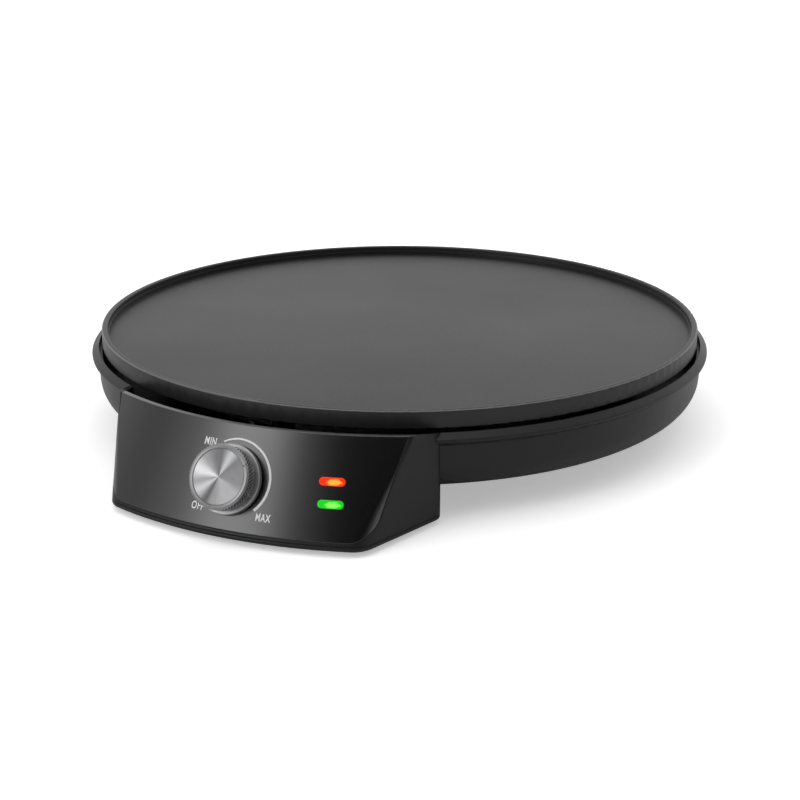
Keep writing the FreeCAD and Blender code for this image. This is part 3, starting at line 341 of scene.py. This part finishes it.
knob_joint = next(j for j in record["behaviour"]["joints"] if j["name"] == "knob_turn")
knob_centre = np.array(knob_joint["pos_m"])
knob_out = -np.array(knob_joint["axis"])
knob_up = np.array([0.0, knob_out[2], -knob_out[1]])
panel_radius_at_knob = math.hypot(knob_centre[0], knob_centre[1] - PLATE_AXIS_Y)


def on_panel(across, upward, lift):
    """Points on the panel's cone, each from three lengths measured from the knob's centre.

    across is the arc to the right, upward is the way up the slope and lift is square to it. The
    radius is R - upward*sin(s) + lift*cos(s) and the angle across/R, where s is the panel's lean
    and R the cone's radius at the knob.
    """
    z = knob_centre[2] + upward * -knob_out[1] + lift * knob_out[2]
    radius = panel_radius_at_knob - upward * knob_out[2] + lift * -knob_out[1]
    angle = across / panel_radius_at_knob
    return np.stack([radius * np.sin(angle), PLATE_AXIS_Y - radius * np.cos(angle), z], axis=-1)


# The dial's print: a white stroke that thickens from low to high, and three small words.
# It is pad-printed ink, a few hundredths of a millimetre thick, with slightly uneven cover.
ARC_RADIUS = 0.0179
ARC_RIGHT = 0.0016
ARC_UP = 0.0009
ARC_START = math.radians(-30.0)
ARC_END = math.radians(136.1)
ARC_THIN = 0.0005
ARC_THICK = 0.00125
ARC_STEPS = 97
INK_HEIGHT = 0.00003
INK_SUNK = 0.00005
PRINT_MERGE = 1e-7


def grid_object(name, points):
    """A mesh from a grid of points, its faces joining neighbours and each row closed on itself."""
    rows, columns = points.shape[:2]
    index = np.arange(rows * columns).reshape(rows, columns)
    index = np.hstack([index, index[:, :1]])
    corners = [index[:-1, :-1], index[:-1, 1:], index[1:, 1:], index[1:, :-1]]
    quads = np.stack(corners, axis=-1).reshape(-1, 4)
    mesh = bpy.data.meshes.new(name)
    mesh.from_pydata(points.reshape(-1, 3).tolist(), [], quads.tolist())
    mesh.update()
    piece = bpy.data.objects.new(name, mesh)
    bpy.context.scene.collection.objects.link(piece)
    return piece


def close_ends(piece, near, reach):
    """Fills the open ends of a mesh whose edges start within reach of a point."""
    work = bmesh.new()
    work.from_mesh(piece.data)
    ends = [e for e in work.edges if e.is_boundary and (e.verts[0].co - Vector(near)).length < reach]
    bmesh.ops.holes_fill(work, edges=ends)
    work.to_mesh(piece.data)
    work.free()


def tidy_mesh(piece, sharp_angle):
    """Merges doubles, points faces outwards and shades smooth but for edges over the angle."""
    work = bmesh.new()
    work.from_mesh(piece.data)
    bmesh.ops.remove_doubles(work, verts=work.verts, dist=PRINT_MERGE)
    bmesh.ops.recalc_face_normals(work, faces=work.faces)
    for face in work.faces:
        face.smooth = True
    for edge in work.edges:
        edge.smooth = len(edge.link_faces) == 2 and edge.calc_face_angle(math.pi) < sharp_angle
    work.to_mesh(piece.data)
    work.free()


white_ink = finish(
    "white_dial_ink", (0.86, 0.86, 0.86), 0.5,
    spread=0.05, fine=5000.0, broad=900.0, bump=0.000004, edge=0.00002,
)


def inked(piece):
    """Tidies a printed shape's mesh and gives it the white ink."""
    tidy_mesh(piece, SHARP_ANGLE)
    piece.data.materials.clear()
    piece.data.materials.append(white_ink)


def dial_stroke():
    """The stroke's outline swept round part of a circle on the panel.

    At a share t of the way round, the stroke is thin + (thick - thin)*sqrt(t) wide.
    """
    turn = np.linspace(0, 1, ARC_STEPS)
    sweep = ARC_START + (ARC_END - ARC_START) * turn
    half_stroke = (ARC_THIN + (ARC_THICK - ARC_THIN) * np.sqrt(turn)) / 2
    loops = []
    for side, lift in ((-1, -INK_SUNK), (-1, INK_HEIGHT), (1, INK_HEIGHT), (1, -INK_SUNK)):
        radius = ARC_RADIUS + side * half_stroke
        across = ARC_RIGHT + radius * np.sin(sweep)
        upward = ARC_UP + radius * np.cos(sweep)
        loops.append(on_panel(across, upward, np.full_like(sweep, lift)))
    return grid_object("dial_stroke", np.stack(loops, axis=1))


stroke = dial_stroke()
close_ends(stroke, knob_centre, math.inf)
inked(stroke)
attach(stroke, "cooker")

WORD_HEIGHT = 0.0036
LETTER_WEIGHT = 0.014
LETTER_SPACING = 1.12
LETTER_STEPS = 4
LETTER_DEPTH = 0.5
WORDS = {
    "MIN": (-0.0145, 0.0155, 0.68),
    "OFF": (-0.0134, -0.0142, 0.70),
    "MAX": (0.0189, -0.0146, 0.60),
}


def printed_word(text, across, upward, width_ratio):
    """A word from the built-in face, narrowed, centred and laid on the panel's cone."""
    curve = bpy.data.curves.new(text, "FONT")
    curve.body = text
    curve.align_x = "CENTER"
    curve.align_y = "CENTER"
    curve.extrude = LETTER_DEPTH
    curve.resolution_u = LETTER_STEPS
    curve.offset = LETTER_WEIGHT
    curve.space_character = LETTER_SPACING
    carrier = bpy.data.objects.new(text, curve)
    bpy.context.scene.collection.objects.link(carrier)
    bpy.context.view_layer.update()
    settled = carrier.evaluated_get(bpy.context.evaluated_depsgraph_get())
    mesh = bpy.data.meshes.new_from_object(settled)
    bpy.data.objects.remove(carrier)
    points = vectors_of(mesh.vertices, "co")
    low, high = points.min(axis=0), points.max(axis=0)
    centred = points - (low + high) / 2
    size = WORD_HEIGHT / (high[1] - low[1])
    lift = np.where(centred[:, 2] > 0, INK_HEIGHT, -INK_SUNK)
    laid = on_panel(across + centred[:, 0] * size * width_ratio, upward + centred[:, 1] * size, lift)
    mesh.vertices.foreach_set("co", laid.ravel())
    mesh.update()
    piece = bpy.data.objects.new("word_" + text.lower(), mesh)
    bpy.context.scene.collection.objects.link(piece)
    inked(piece)
    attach(piece, "cooker")


for text, (across, upward, width_ratio) in WORDS.items():
    printed_word(text, across, upward, width_ratio)

# The knob: a metal cap with a diamond-knurled grip and a spun face, pressed on a moulded core.
# The face is turned in fine rings, so light lies on it in fans, partly as real spread reflection and partly
# as painted highlight and shade in its colour; a short groove on its ring is the pointer.
KNOB_FACE = 0.0115
KNOB_RING_OUT = 0.0146
KNOB_GRIP = 0.0150
KNOB_DISC = 0.0126
KNURL_COUNT = 60
KNURL_DEPTH = 0.0005
KNURL_LOW = 0.0064
KNURL_HIGH = 0.0109
KNURL_LEAD = 0.0015
KNURL_ROWS = 25
POINTS_PER_TOOTH = 12
KNURL_SHARP_ANGLE = math.radians(28)
CAP_LOW = 0.0033
POINTER_ANGLE = math.radians(60)
POINTER_HALF_WIDTH = 0.00035
POINTER_DEPTH = 0.00035
HEIGHT_SLACK = 0.00001
STEP_SLACK = 0.0001


def cap_profile():
    """The cap's outline as radii and heights: dished disc, groove, flat ring, chamfer, grip and neck."""
    disc = [(0.0001, -0.00045), (0.004, -0.0004), (0.008, -0.0003), (KNOB_DISC - 0.0001, -0.0002)]
    groove = [(KNOB_DISC, -0.00032), (KNOB_DISC + 0.00018, -0.00032), (KNOB_DISC + 0.00028, -0.00002)]
    ring = [(r, 0.0) for r in np.linspace(KNOB_DISC + 0.0005, KNOB_RING_OUT - 0.0006, 5)]
    chamfer = [(KNOB_RING_OUT - 0.0003, -0.0002), (KNOB_RING_OUT, -0.00035)]
    face = [(r, KNOB_FACE + h) for r, h in disc + groove + ring + chamfer]
    grip_top = [(KNOB_GRIP - 0.0002, KNURL_HIGH + 0.00004)]
    grip = [(KNOB_GRIP, h) for h in np.linspace(KNURL_HIGH, KNURL_LOW, KNURL_ROWS)]
    neck_radius = KNOB_GRIP - KNURL_DEPTH
    neck = [(neck_radius, KNURL_LOW - 0.0001), (neck_radius, CAP_LOW), (KNOB_GRIP - 0.0015, CAP_LOW)]
    return np.array(face + grip_top + grip + neck)


def triangle_wave(x):
    """0 at whole numbers and 1 half way between them."""
    return 1 - np.abs(2 * (x - np.floor(x)) - 1)


def knob_points(radius, height, angle):
    """Points about the knob's axis: the angle runs clockwise from the top, seen from the front."""
    right = np.array([1.0, 0.0, 0.0])
    spoke = np.sin(angle)[..., None] * right + np.cos(angle)[..., None] * knob_up
    return knob_centre + radius[..., None] * spoke + height[..., None] * knob_out


def knob_cap():
    """The profile turned about the knob's axis, with the knurl and the pointer cut in.

    With u the tooth number round the knob and v the height over the knurl's lead, the grip's
    radius is grip - depth*(1 - min(wave(u + v/2), wave(u - v/2))), where wave is the triangle wave.
    """
    profile = cap_profile()
    angles = np.linspace(0, 2 * math.pi, KNURL_COUNT * POINTS_PER_TOOTH, endpoint=False)
    radius, around = np.meshgrid(profile[:, 0], angles, indexing="ij")
    height, _ = np.meshgrid(profile[:, 1], angles, indexing="ij")
    tooth = around / (2 * math.pi) * KNURL_COUNT
    lead = (height - KNURL_LOW) / KNURL_LEAD
    peak = np.minimum(triangle_wave(tooth + lead / 2), triangle_wave(tooth - lead / 2))
    on_grip = (height < KNURL_HIGH + HEIGHT_SLACK) & (height > KNURL_LOW - HEIGHT_SLACK)
    radius = radius - np.where(on_grip & (radius > KNOB_RING_OUT), KNURL_DEPTH * (1 - peak), 0.0)
    from_pointer = np.abs(np.angle(np.exp(1j * (around - POINTER_ANGLE)))) * radius
    in_ring = (radius > KNOB_DISC + 4 * STEP_SLACK) & (radius < KNOB_RING_OUT + STEP_SLACK)
    in_ring &= height > KNURL_HIGH + STEP_SLACK
    cut = POINTER_DEPTH * np.clip(1.5 - from_pointer / POINTER_HALF_WIDTH, 0, 1)
    height = height - np.where(in_ring, cut, 0.0)
    return grid_object("knob_cap_metal", knob_points(radius, height, around))


cap = knob_cap()
CENTRE_REACH = 0.002
close_ends(cap, knob_centre + knob_out * KNOB_FACE, CENTRE_REACH)
tidy_mesh(cap, KNURL_SHARP_ANGLE)

from_knob = vectors_of(cap.data.vertices, "co") - knob_centre
from_axis = np.hypot(from_knob[:, 0], from_knob @ knob_up)


def lay_spin_map():
    """A map on the cap: turns about its axis, kept whole over each face, against the distance from it."""
    corner_vertex = corner_vertices(cap.data)
    turns = np.arctan2(from_knob[:, 0], from_knob @ knob_up) / (2 * math.pi)
    first = np.array([turns[corner_vertex[p.loop_start]] for p in cap.data.polygons])
    first = np.repeat(first, [p.loop_total for p in cap.data.polygons])
    across = turns[corner_vertex]
    across = across + np.round(first - across)
    spin_map = np.stack([across, from_axis[corner_vertex] / KNOB_GRIP], axis=-1)
    cap.data.uv_layers.new(name="spin").data.foreach_set("uv", spin_map.ravel())


lay_spin_map()

# Painted highlight and shade on the spun face: bright and dark fans painted into its colour, by their angle
# in degrees from the top.
PAINTED_FANS = [
    (0, 1.0), (20, 2.3), (45, 0.75), (100, 0.7), (125, 1.1), (165, 1.6), (185, 1.45),
    (201, 0.6), (229, 2.0), (252, 1.0), (278, 1.8), (315, 0.95), (345, 0.8),
]
PAINTED_FAN_TOP = 2.5
SPUN_ANISOTROPY = 0.96


def shader_of(material):
    """The material's node tree, its main shader and the colour that feeds it."""
    tree = material.node_tree
    shader = tree.nodes["Principled BSDF"]
    return tree, shader, shader.inputs["Base Color"].links[0].from_socket


def split(tree, vector):
    """The X, Y and Z outputs of a vector."""
    node = tree.nodes.new("ShaderNodeSeparateXYZ")
    tree.links.new(vector, node.inputs[0])
    return node.outputs


def ramp(tree, value, stops, top):
    """A level read off between stops by the value: each stop has a place from 0 to 1 and a level."""
    node = tree.nodes.new("ShaderNodeValToRGB")
    node.color_ramp.interpolation = "EASE"
    tree.links.new(value, node.inputs[0])
    for place, _ in stops[1:-1]:
        node.color_ramp.elements.new(place)
    for stop, (place, level) in zip(node.color_ramp.elements, stops):
        stop.position = place
        stop.color = (level / top,) * 3 + (1,)
    return product(tree, node.outputs[0], top)


spun_metal = finish(
    "spun_knob_metal", (0.27, 0.27, 0.275), 0.42,
    metallic=1.0, spread=0.06, fine=4000.0, broad=400.0, bump=0.000002, edge=0.00008,
)
tree, shader, plain = shader_of(spun_metal)
shader.inputs["Anisotropic"].default_value = SPUN_ANISOTROPY
tangent = tree.nodes.new("ShaderNodeTangent")
tangent.direction_type = "UV_MAP"
tangent.uv_map = "spin"
tree.links.new(tangent.outputs["Tangent"], shader.inputs["Tangent"])
spin = tree.nodes.new("ShaderNodeUVMap")
spin.uv_map = "spin"
turned = split(tree, spin.outputs["UV"])
# The disc's colour is scaled by these fans: painted highlight and painted shade that turn with the knob.
painted_fan_stops = [(degrees / 360, level) for degrees, level in PAINTED_FANS]
painted_fan_level = ramp(tree, math_node(tree, "FRACT", turned["X"]), painted_fan_stops, PAINTED_FAN_TOP)
fan_painted_colour = tree.nodes.new("ShaderNodeVectorMath")
fan_painted_colour.operation = "SCALE"
tree.links.new(plain, fan_painted_colour.inputs[0])
tree.links.new(painted_fan_level, fan_painted_colour.inputs["Scale"])
on_disc = math_node(tree, "LESS_THAN", turned["Y"], KNOB_DISC / KNOB_GRIP)
tree.links.new(coloured_mix(tree, on_disc, plain, fan_painted_colour.outputs[0]), shader.inputs["Base Color"])
cap.data.materials.append(spun_metal)

# The knurl has a painted highlight on its crests and painted shade in its cuts, set by each point's height.
CREST_POWER = 2.0
CREST_HIGHLIGHT_COLOUR = (0.95, 0.95, 0.96)
# Its dark base colour is the painted shade in the cuts.
knurled_metal = finish(
    "knurled_knob_metal", (0.1, 0.1, 0.1), 0.3,
    metallic=1.0, spread=0.06, fine=4000.0, broad=400.0, bump=0.000002, edge=0.00004,
)
tree, shader, cut_shade_colour = shader_of(knurled_metal)
raised = np.clip((from_axis - KNOB_GRIP + KNURL_DEPTH) / KNURL_DEPTH, 0, 1).astype(np.float32)
cap.data.attributes.new("raised", "FLOAT", "POINT").data.foreach_set("value", raised)
height_mask = tree.nodes.new("ShaderNodeAttribute")
height_mask.attribute_name = "raised"
crest_highlight = math_node(tree, "POWER", height_mask.outputs["Fac"], CREST_POWER)
tree.links.new(coloured_mix(tree, crest_highlight, cut_shade_colour, CREST_HIGHLIGHT_COLOUR), shader.inputs["Base Color"])
cap.data.materials.append(knurled_metal)
for polygon in cap.data.polygons:
    middle = Vector(polygon.center) - Vector(knob_centre)
    height = middle.dot(Vector(knob_out))
    at_side = (middle - height * Vector(knob_out)).length > KNOB_RING_OUT - 3 * STEP_SLACK
    on_grip = KNURL_LOW - 2 * STEP_SLACK < height < KNURL_HIGH + STEP_SLACK
    polygon.material_index = int(at_side and on_grip)
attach(cap, "knob")
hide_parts("knob_cap")

silver_plastic = finish(
    "silver_knob_base", (0.34, 0.34, 0.345), 0.42,
    metallic=0.85, spread=0.05, fine=3000.0, bump=0.000004, edge=0.0002,
)
smooth_copy("knob_core", silver_plastic)

# The two indicator windows: clear red and green pills over small lamps, both lit.
# The lamp behind shows as a hot patch towards the right, and ribs inside the pill break it up.
HOT_RIGHT = 0.0016
HOT_HALF_WIDTH = 0.0034
HOT_HALF_HEIGHT = 0.0015
HOT_SPREAD = 1.15
FACET_SCALE = 900.0
FACET_MIDDLE = 0.4
FACET_STRENGTH = 0.9
FRONT_FROM = 0.0012
NO_GLOW = (0.0, 0.0, 0.0)
lens_colours = {
    "power_lens": ((0.5, 0.01, 0.002), (0.62, 0.018, 0.0), (1.0, 0.42, 0.05), 1.25),
    "ready_lens": ((0.01, 0.25, 0.01), (0.0, 0.4, 0.006), (0.24, 0.85, 0.1), 1.2),
}


def lit_lens(node, colour, rim_glow, hot_glow, strength):
    """Gloss plastic that glows at its front: a hot patch right of the middle, broken into facets by cells."""
    centre = (np.array(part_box(node)[0]) + np.array(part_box(node)[1])) / 2
    radial = np.array([centre[0], centre[1] - PLATE_AXIS_Y, 0.0])
    radial = radial / np.linalg.norm(radial)
    outward = radial * -knob_out[1] + np.array([0, 0, knob_out[2]])
    up_slope = radial * -knob_out[2] + np.array([0, 0, -knob_out[1]])
    material = finish("lit_" + node, colour, 0.12, spread=0.1, fine=1500.0, bump=0.000004, edge=0.00015)
    tree, shader, _ = shader_of(material)
    mapping = tree.nodes.new("ShaderNodeMapping")
    mapping.vector_type = "POINT"
    mapping.inputs["Location"].default_value = [-c for c in centre]
    tree.links.new(object_place(tree), mapping.inputs["Vector"])
    place = mapping.outputs["Vector"]
    cells = tree.nodes.new("ShaderNodeTexVoronoi")
    cells.inputs["Scale"].default_value = FACET_SCALE
    tree.links.new(place, cells.inputs["Vector"])
    right = math_node(tree, "SUBTRACT", split(tree, place)["X"], HOT_RIGHT)
    across = product(tree, right, 1 / HOT_HALF_WIDTH)
    upward = product(tree, along(tree, place, up_slope), 1 / HOT_HALF_HEIGHT)
    far = math_node(tree, "ADD", product(tree, across, across), product(tree, upward, upward))
    hot = math_node(tree, "SUBTRACT", HOT_SPREAD, far)
    facets = math_node(tree, "SUBTRACT", cells.outputs["Distance"], FACET_MIDDLE)
    broken = math_node(tree, "ADD", hot, product(tree, facets, FACET_STRENGTH), clamp=True)
    glow = coloured_mix(tree, broken, rim_glow, hot_glow)
    at_front = math_node(tree, "GREATER_THAN", along(tree, place, outward), FRONT_FROM)
    tree.links.new(coloured_mix(tree, at_front, NO_GLOW, glow), shader.inputs["Emission Color"])
    shader.inputs["Emission Strength"].default_value = strength
    return material


for node, colours in lens_colours.items():
    smooth_copy(node, lit_lens(node, *colours))

# The hot plate: cast aluminium with a turned rim, sprayed with a dark grey non-stick coating.
# The coating on its floor has fine pale specks, and the rim's outer top edge has a painted highlight, a
# lighter colour along it.
SURFACE_BELOW_RIM = 0.0044
FLOOR_DEPTH = 0.002
RIM_INNER_RADIUS = 0.1611
EDGE_INNER_RADIUS = 0.16425
EDGE_DROP = 0.0006
RIM_EDGE_HIGHLIGHT_COLOUR = (0.13, 0.13, 0.13)
FLOOR_COLOUR = (0.0095, 0.0095, 0.0098)
FLECK_COLOUR = (0.16, 0.16, 0.16)
FLECK_SCALE = 700.0
FLECK_SIZE = 0.16
FLECK_SHARE = 0.35
rim_top_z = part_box("heating_plate")[1][2]
coated = finish(
    "nonstick_coating", (0.018, 0.018, 0.0185), 0.42,
    specular=0.3, spread=0.08, fine=1600.0, broad=9.0,
)
tree, shader, rim_colour = shader_of(coated)
place = object_place(tree)
parts = split(tree, place)
from_axis_y = math_node(tree, "SUBTRACT", parts["Y"], PLATE_AXIS_Y)
x_squared = product(tree, parts["X"], parts["X"])
radius_squared = math_node(tree, "ADD", x_squared, product(tree, from_axis_y, from_axis_y))
inside_rim = math_node(tree, "LESS_THAN", radius_squared, RIM_INNER_RADIUS ** 2)
above_under = math_node(tree, "GREATER_THAN", parts["Z"], rim_top_z - SURFACE_BELOW_RIM - FLOOR_DEPTH)
below_rim = math_node(tree, "LESS_THAN", parts["Z"], rim_top_z - SURFACE_BELOW_RIM)
floor_mask = product(tree, product(tree, inside_rim, above_under), below_rim)
specks = tree.nodes.new("ShaderNodeTexVoronoi")
specks.inputs["Scale"].default_value = FLECK_SCALE
tree.links.new(place, specks.inputs["Vector"])
fleck = product(tree, math_node(tree, "LESS_THAN", specks.outputs["Distance"], FLECK_SIZE), FLECK_SHARE)
floor_colour = coloured_mix(tree, fleck, FLOOR_COLOUR, FLECK_COLOUR)
# A painted highlight: the outer top edge of the rim is lighter in colour.
outer_edge = math_node(tree, "GREATER_THAN", radius_squared, EDGE_INNER_RADIUS ** 2)
top_edge = math_node(tree, "GREATER_THAN", parts["Z"], rim_top_z - EDGE_DROP)
rim_colour = coloured_mix(tree, product(tree, outer_edge, top_edge), rim_colour, RIM_EDGE_HIGHLIGHT_COLOUR)
tree.links.new(coloured_mix(tree, floor_mask, rim_colour, floor_colour), shader.inputs["Base Color"])
smooth_copy("heating_plate", coated)

# Feet, gland and everything inside the base: rubber, nylon, plated steel, brass, copper, ceramic and wire.
# The fastenings are plated and lightly scuffed; the wires are drawn tubes in plain insulation.
inner_finishes = {
    "foot_rubber": finish("foot_rubber_black", (0.02, 0.02, 0.02), 0.8, fine=1800.0, bump=0.00003),
    "gland_nylon": finish("gland_black_nylon", (0.02, 0.02, 0.02), 0.45, fine=2200.0, bump=0.00001),
    "zinc_steel": finish(
        "zinc_plated_steel", (0.55, 0.56, 0.58), 0.32,
        metallic=1.0, spread=0.1, fine=1500.0, broad=250.0, bump=0.000006, wear_and_highlight=0.1,
    ),
    "element_steel": finish(
        "element_sheath", (0.2, 0.19, 0.18), 0.5, metallic=1.0, spread=0.2, broad=120.0
    ),
    "shield_metal": finish(
        "shield_sheet", (0.6, 0.6, 0.6), 0.35,
        metallic=1.0, spread=0.08, fine=900.0, broad=60.0, bump=0.00001, wear_and_highlight=0.1,
    ),
    "ceramic_white": finish(
        "unglazed_ceramic", (0.72, 0.7, 0.64), 0.75, spread=0.06, fine=1400.0, bump=0.00003
    ),
    "brass": finish(
        "bright_brass", (0.72, 0.5, 0.2), 0.28, metallic=1.0, spread=0.08, broad=200.0, wear_and_highlight=0.1
    ),
    "copper": finish("drawn_copper", (0.7, 0.33, 0.2), 0.3, metallic=1.0, spread=0.15, broad=150.0),
    "lamp_glass": finish("lamp_bulb", (0.9, 0.62, 0.4), 0.1, spread=0.1, broad=600.0),
    "holder_plastic": finish("natural_nylon_holder", (0.62, 0.6, 0.54), 0.55, spread=0.05),
    "block_nylon": finish("natural_nylon_block", (0.66, 0.65, 0.6), 0.5, spread=0.05),
    "brown_wire": finish("brown_insulation", (0.12, 0.04, 0.015), 0.45, spread=0.1, broad=300.0),
    "blue_wire": finish("blue_insulation", (0.015, 0.07, 0.4), 0.45, spread=0.1, broad=300.0),
    "glass_sleeve": finish(
        "woven_sleeve", (0.7, 0.67, 0.6), 0.85, spread=0.15, fine=1200.0, broad=900.0, bump=0.0001
    ),
    "earth_wire_sleeve": finish("earth_insulation", (0.03, 0.28, 0.03), 0.45, spread=0.1),
}

# Earth insulation is green with yellow bands.
STRIPE_SCALE = 110.0
STRIPE_FROM = 0.6
STRIPE_YELLOW = (0.75, 0.6, 0.02)
tree, shader, green = shader_of(inner_finishes["earth_wire_sleeve"])
wave = tree.nodes.new("ShaderNodeTexWave")
wave.inputs["Scale"].default_value = STRIPE_SCALE
tree.links.new(object_place(tree), wave.inputs["Vector"])
stripe = math_node(tree, "GREATER_THAN", wave.outputs["Fac"], STRIPE_FROM)
tree.links.new(coloured_mix(tree, stripe, green, STRIPE_YELLOW), shader.inputs["Base Color"])

for node, slot in slot_of_node.items():
    if slot in inner_finishes:
        smooth_copy(node, inner_finishes[slot])

# The studio: a pale floor, an even bright room behind and above, a darker room in front,
# and a tall soft strip at the front left that the gloss panel mirrors.
CAMERA_TURN = math.radians(23.4)
CAMERA_PITCH = math.radians(19.5)
CAMERA_PLACE = (0.29249, -0.65691, 0.26249)
FOCAL_PIXELS = 1350.0
PICTURE_PIXELS = 800.0
SENSOR = 36.0
NEAREST = 0.01

camera_data = bpy.data.cameras.new("camera")
camera_data.sensor_width = SENSOR
camera_data.lens = FOCAL_PIXELS / PICTURE_PIXELS * SENSOR
camera_data.clip_start = NEAREST
camera = bpy.data.objects.new("camera", camera_data)
camera.location = CAMERA_PLACE
camera.rotation_euler = (math.pi / 2 - CAMERA_PITCH, 0, CAMERA_TURN)
bpy.context.scene.collection.objects.link(camera)
bpy.context.scene.camera = camera

GROUND_HALF = 6
GROUND_SINK = 0.0002
GROUND_LIFT = 0.4
ground_corners = [(GROUND_HALF * x, GROUND_HALF * y, 0) for x, y in ((-1, -1), (1, -1), (1, 1), (-1, 1))]
floor_mesh = bpy.data.meshes.new("floor")
floor_mesh.from_pydata(ground_corners, [], [(0, 1, 2, 3)])
floor = bpy.data.objects.new("floor", floor_mesh)
floor.location = (0, 0, -GROUND_SINK)
bpy.context.scene.collection.objects.link(floor)
pale = bpy.data.materials.new("pale_floor")
pale.use_nodes = True
tree = pale.node_tree
pale_shader = tree.nodes["Principled BSDF"]
pale_shader.inputs["Base Color"].default_value = (0.93, 0.93, 0.93, 1)
pale_shader.inputs["Roughness"].default_value = 0.9
pale_shader.inputs["Specular IOR Level"].default_value = 0.1
pale_shader.inputs["Emission Color"].default_value = (1, 1, 1, 1)
to_camera = tree.nodes.new("ShaderNodeLightPath").outputs["Is Camera Ray"]
tree.links.new(product(tree, to_camera, GROUND_LIFT), pale_shader.inputs["Emission Strength"])
floor_mesh.materials.append(pale)

# The room's light by direction: degrees about the object from the front (-Y), and the level there.
ROOM = [
    (-180, 1.1), (-110, 1.0), (-85, 0.8), (-62, 0.5), (-48, 0.9), (-31, 3.1), (-24, 2.9), (-8, 0.35),
    (5, 0.02), (32, 0.01), (50, 0.15), (70, 0.7), (95, 0.3), (125, 0.9), (180, 1.1),
]
ROOM_TOP = 4.0
CEILING_FROM = 0.62
CEILING_TO = 0.9
CEILING_LEVEL = 0.9
world = bpy.data.worlds.new("room")
bpy.context.scene.world = world
world.use_nodes = True
tree = world.node_tree
background = tree.nodes["Background"]
parts = split(tree, tree.nodes.new("ShaderNodeTexCoord").outputs["Generated"])
azimuth = math_node(tree, "ARCTAN2", parts["X"], product(tree, parts["Y"], -1.0))
turns = math_node(tree, "DIVIDE", azimuth, 2 * math.pi)
room_stops = [((degrees + 180) / 360, level) for degrees, level in ROOM]
around = ramp(tree, math_node(tree, "ADD", turns, 0.5), room_stops, ROOM_TOP)
overhead = tree.nodes.new("ShaderNodeMapRange")
overhead.interpolation_type = "SMOOTHSTEP"
overhead.inputs["From Min"].default_value = CEILING_FROM
overhead.inputs["From Max"].default_value = CEILING_TO
tree.links.new(parts["Z"], overhead.inputs["Value"])
ceiling = product(tree, overhead.outputs[0], CEILING_LEVEL)
walls = product(tree, around, math_node(tree, "SUBTRACT", 1.0, overhead.outputs[0]))
to_camera = tree.nodes.new("ShaderNodeLightPath").outputs["Is Camera Ray"]
seen = math_node(tree, "MAXIMUM", math_node(tree, "ADD", walls, ceiling), to_camera)
tree.links.new(seen, background.inputs["Strength"])
background.inputs["Color"].default_value = (1, 1, 1, 1)

LAMP_POWER = 6.0
LAMP_SIZE = 1.6
LAMP_ELEVATION = math.radians(80)
LAMP_DISTANCE = 2.2
lamp_data = bpy.data.lights.new("overhead", "AREA")
lamp_data.energy = LAMP_POWER
lamp_data.shape = "RECTANGLE"
lamp_data.size = LAMP_SIZE
lamp_data.size_y = LAMP_SIZE
lamp = bpy.data.objects.new("overhead", lamp_data)
lamp.location = Vector((0, -math.cos(LAMP_ELEVATION), math.sin(LAMP_ELEVATION))) * LAMP_DISTANCE
lamp.rotation_euler = (-lamp.location).to_track_quat("-Z", "Y").to_euler()
bpy.context.scene.collection.objects.link(lamp)

bpy.context.scene.view_settings.view_transform = "Standard"
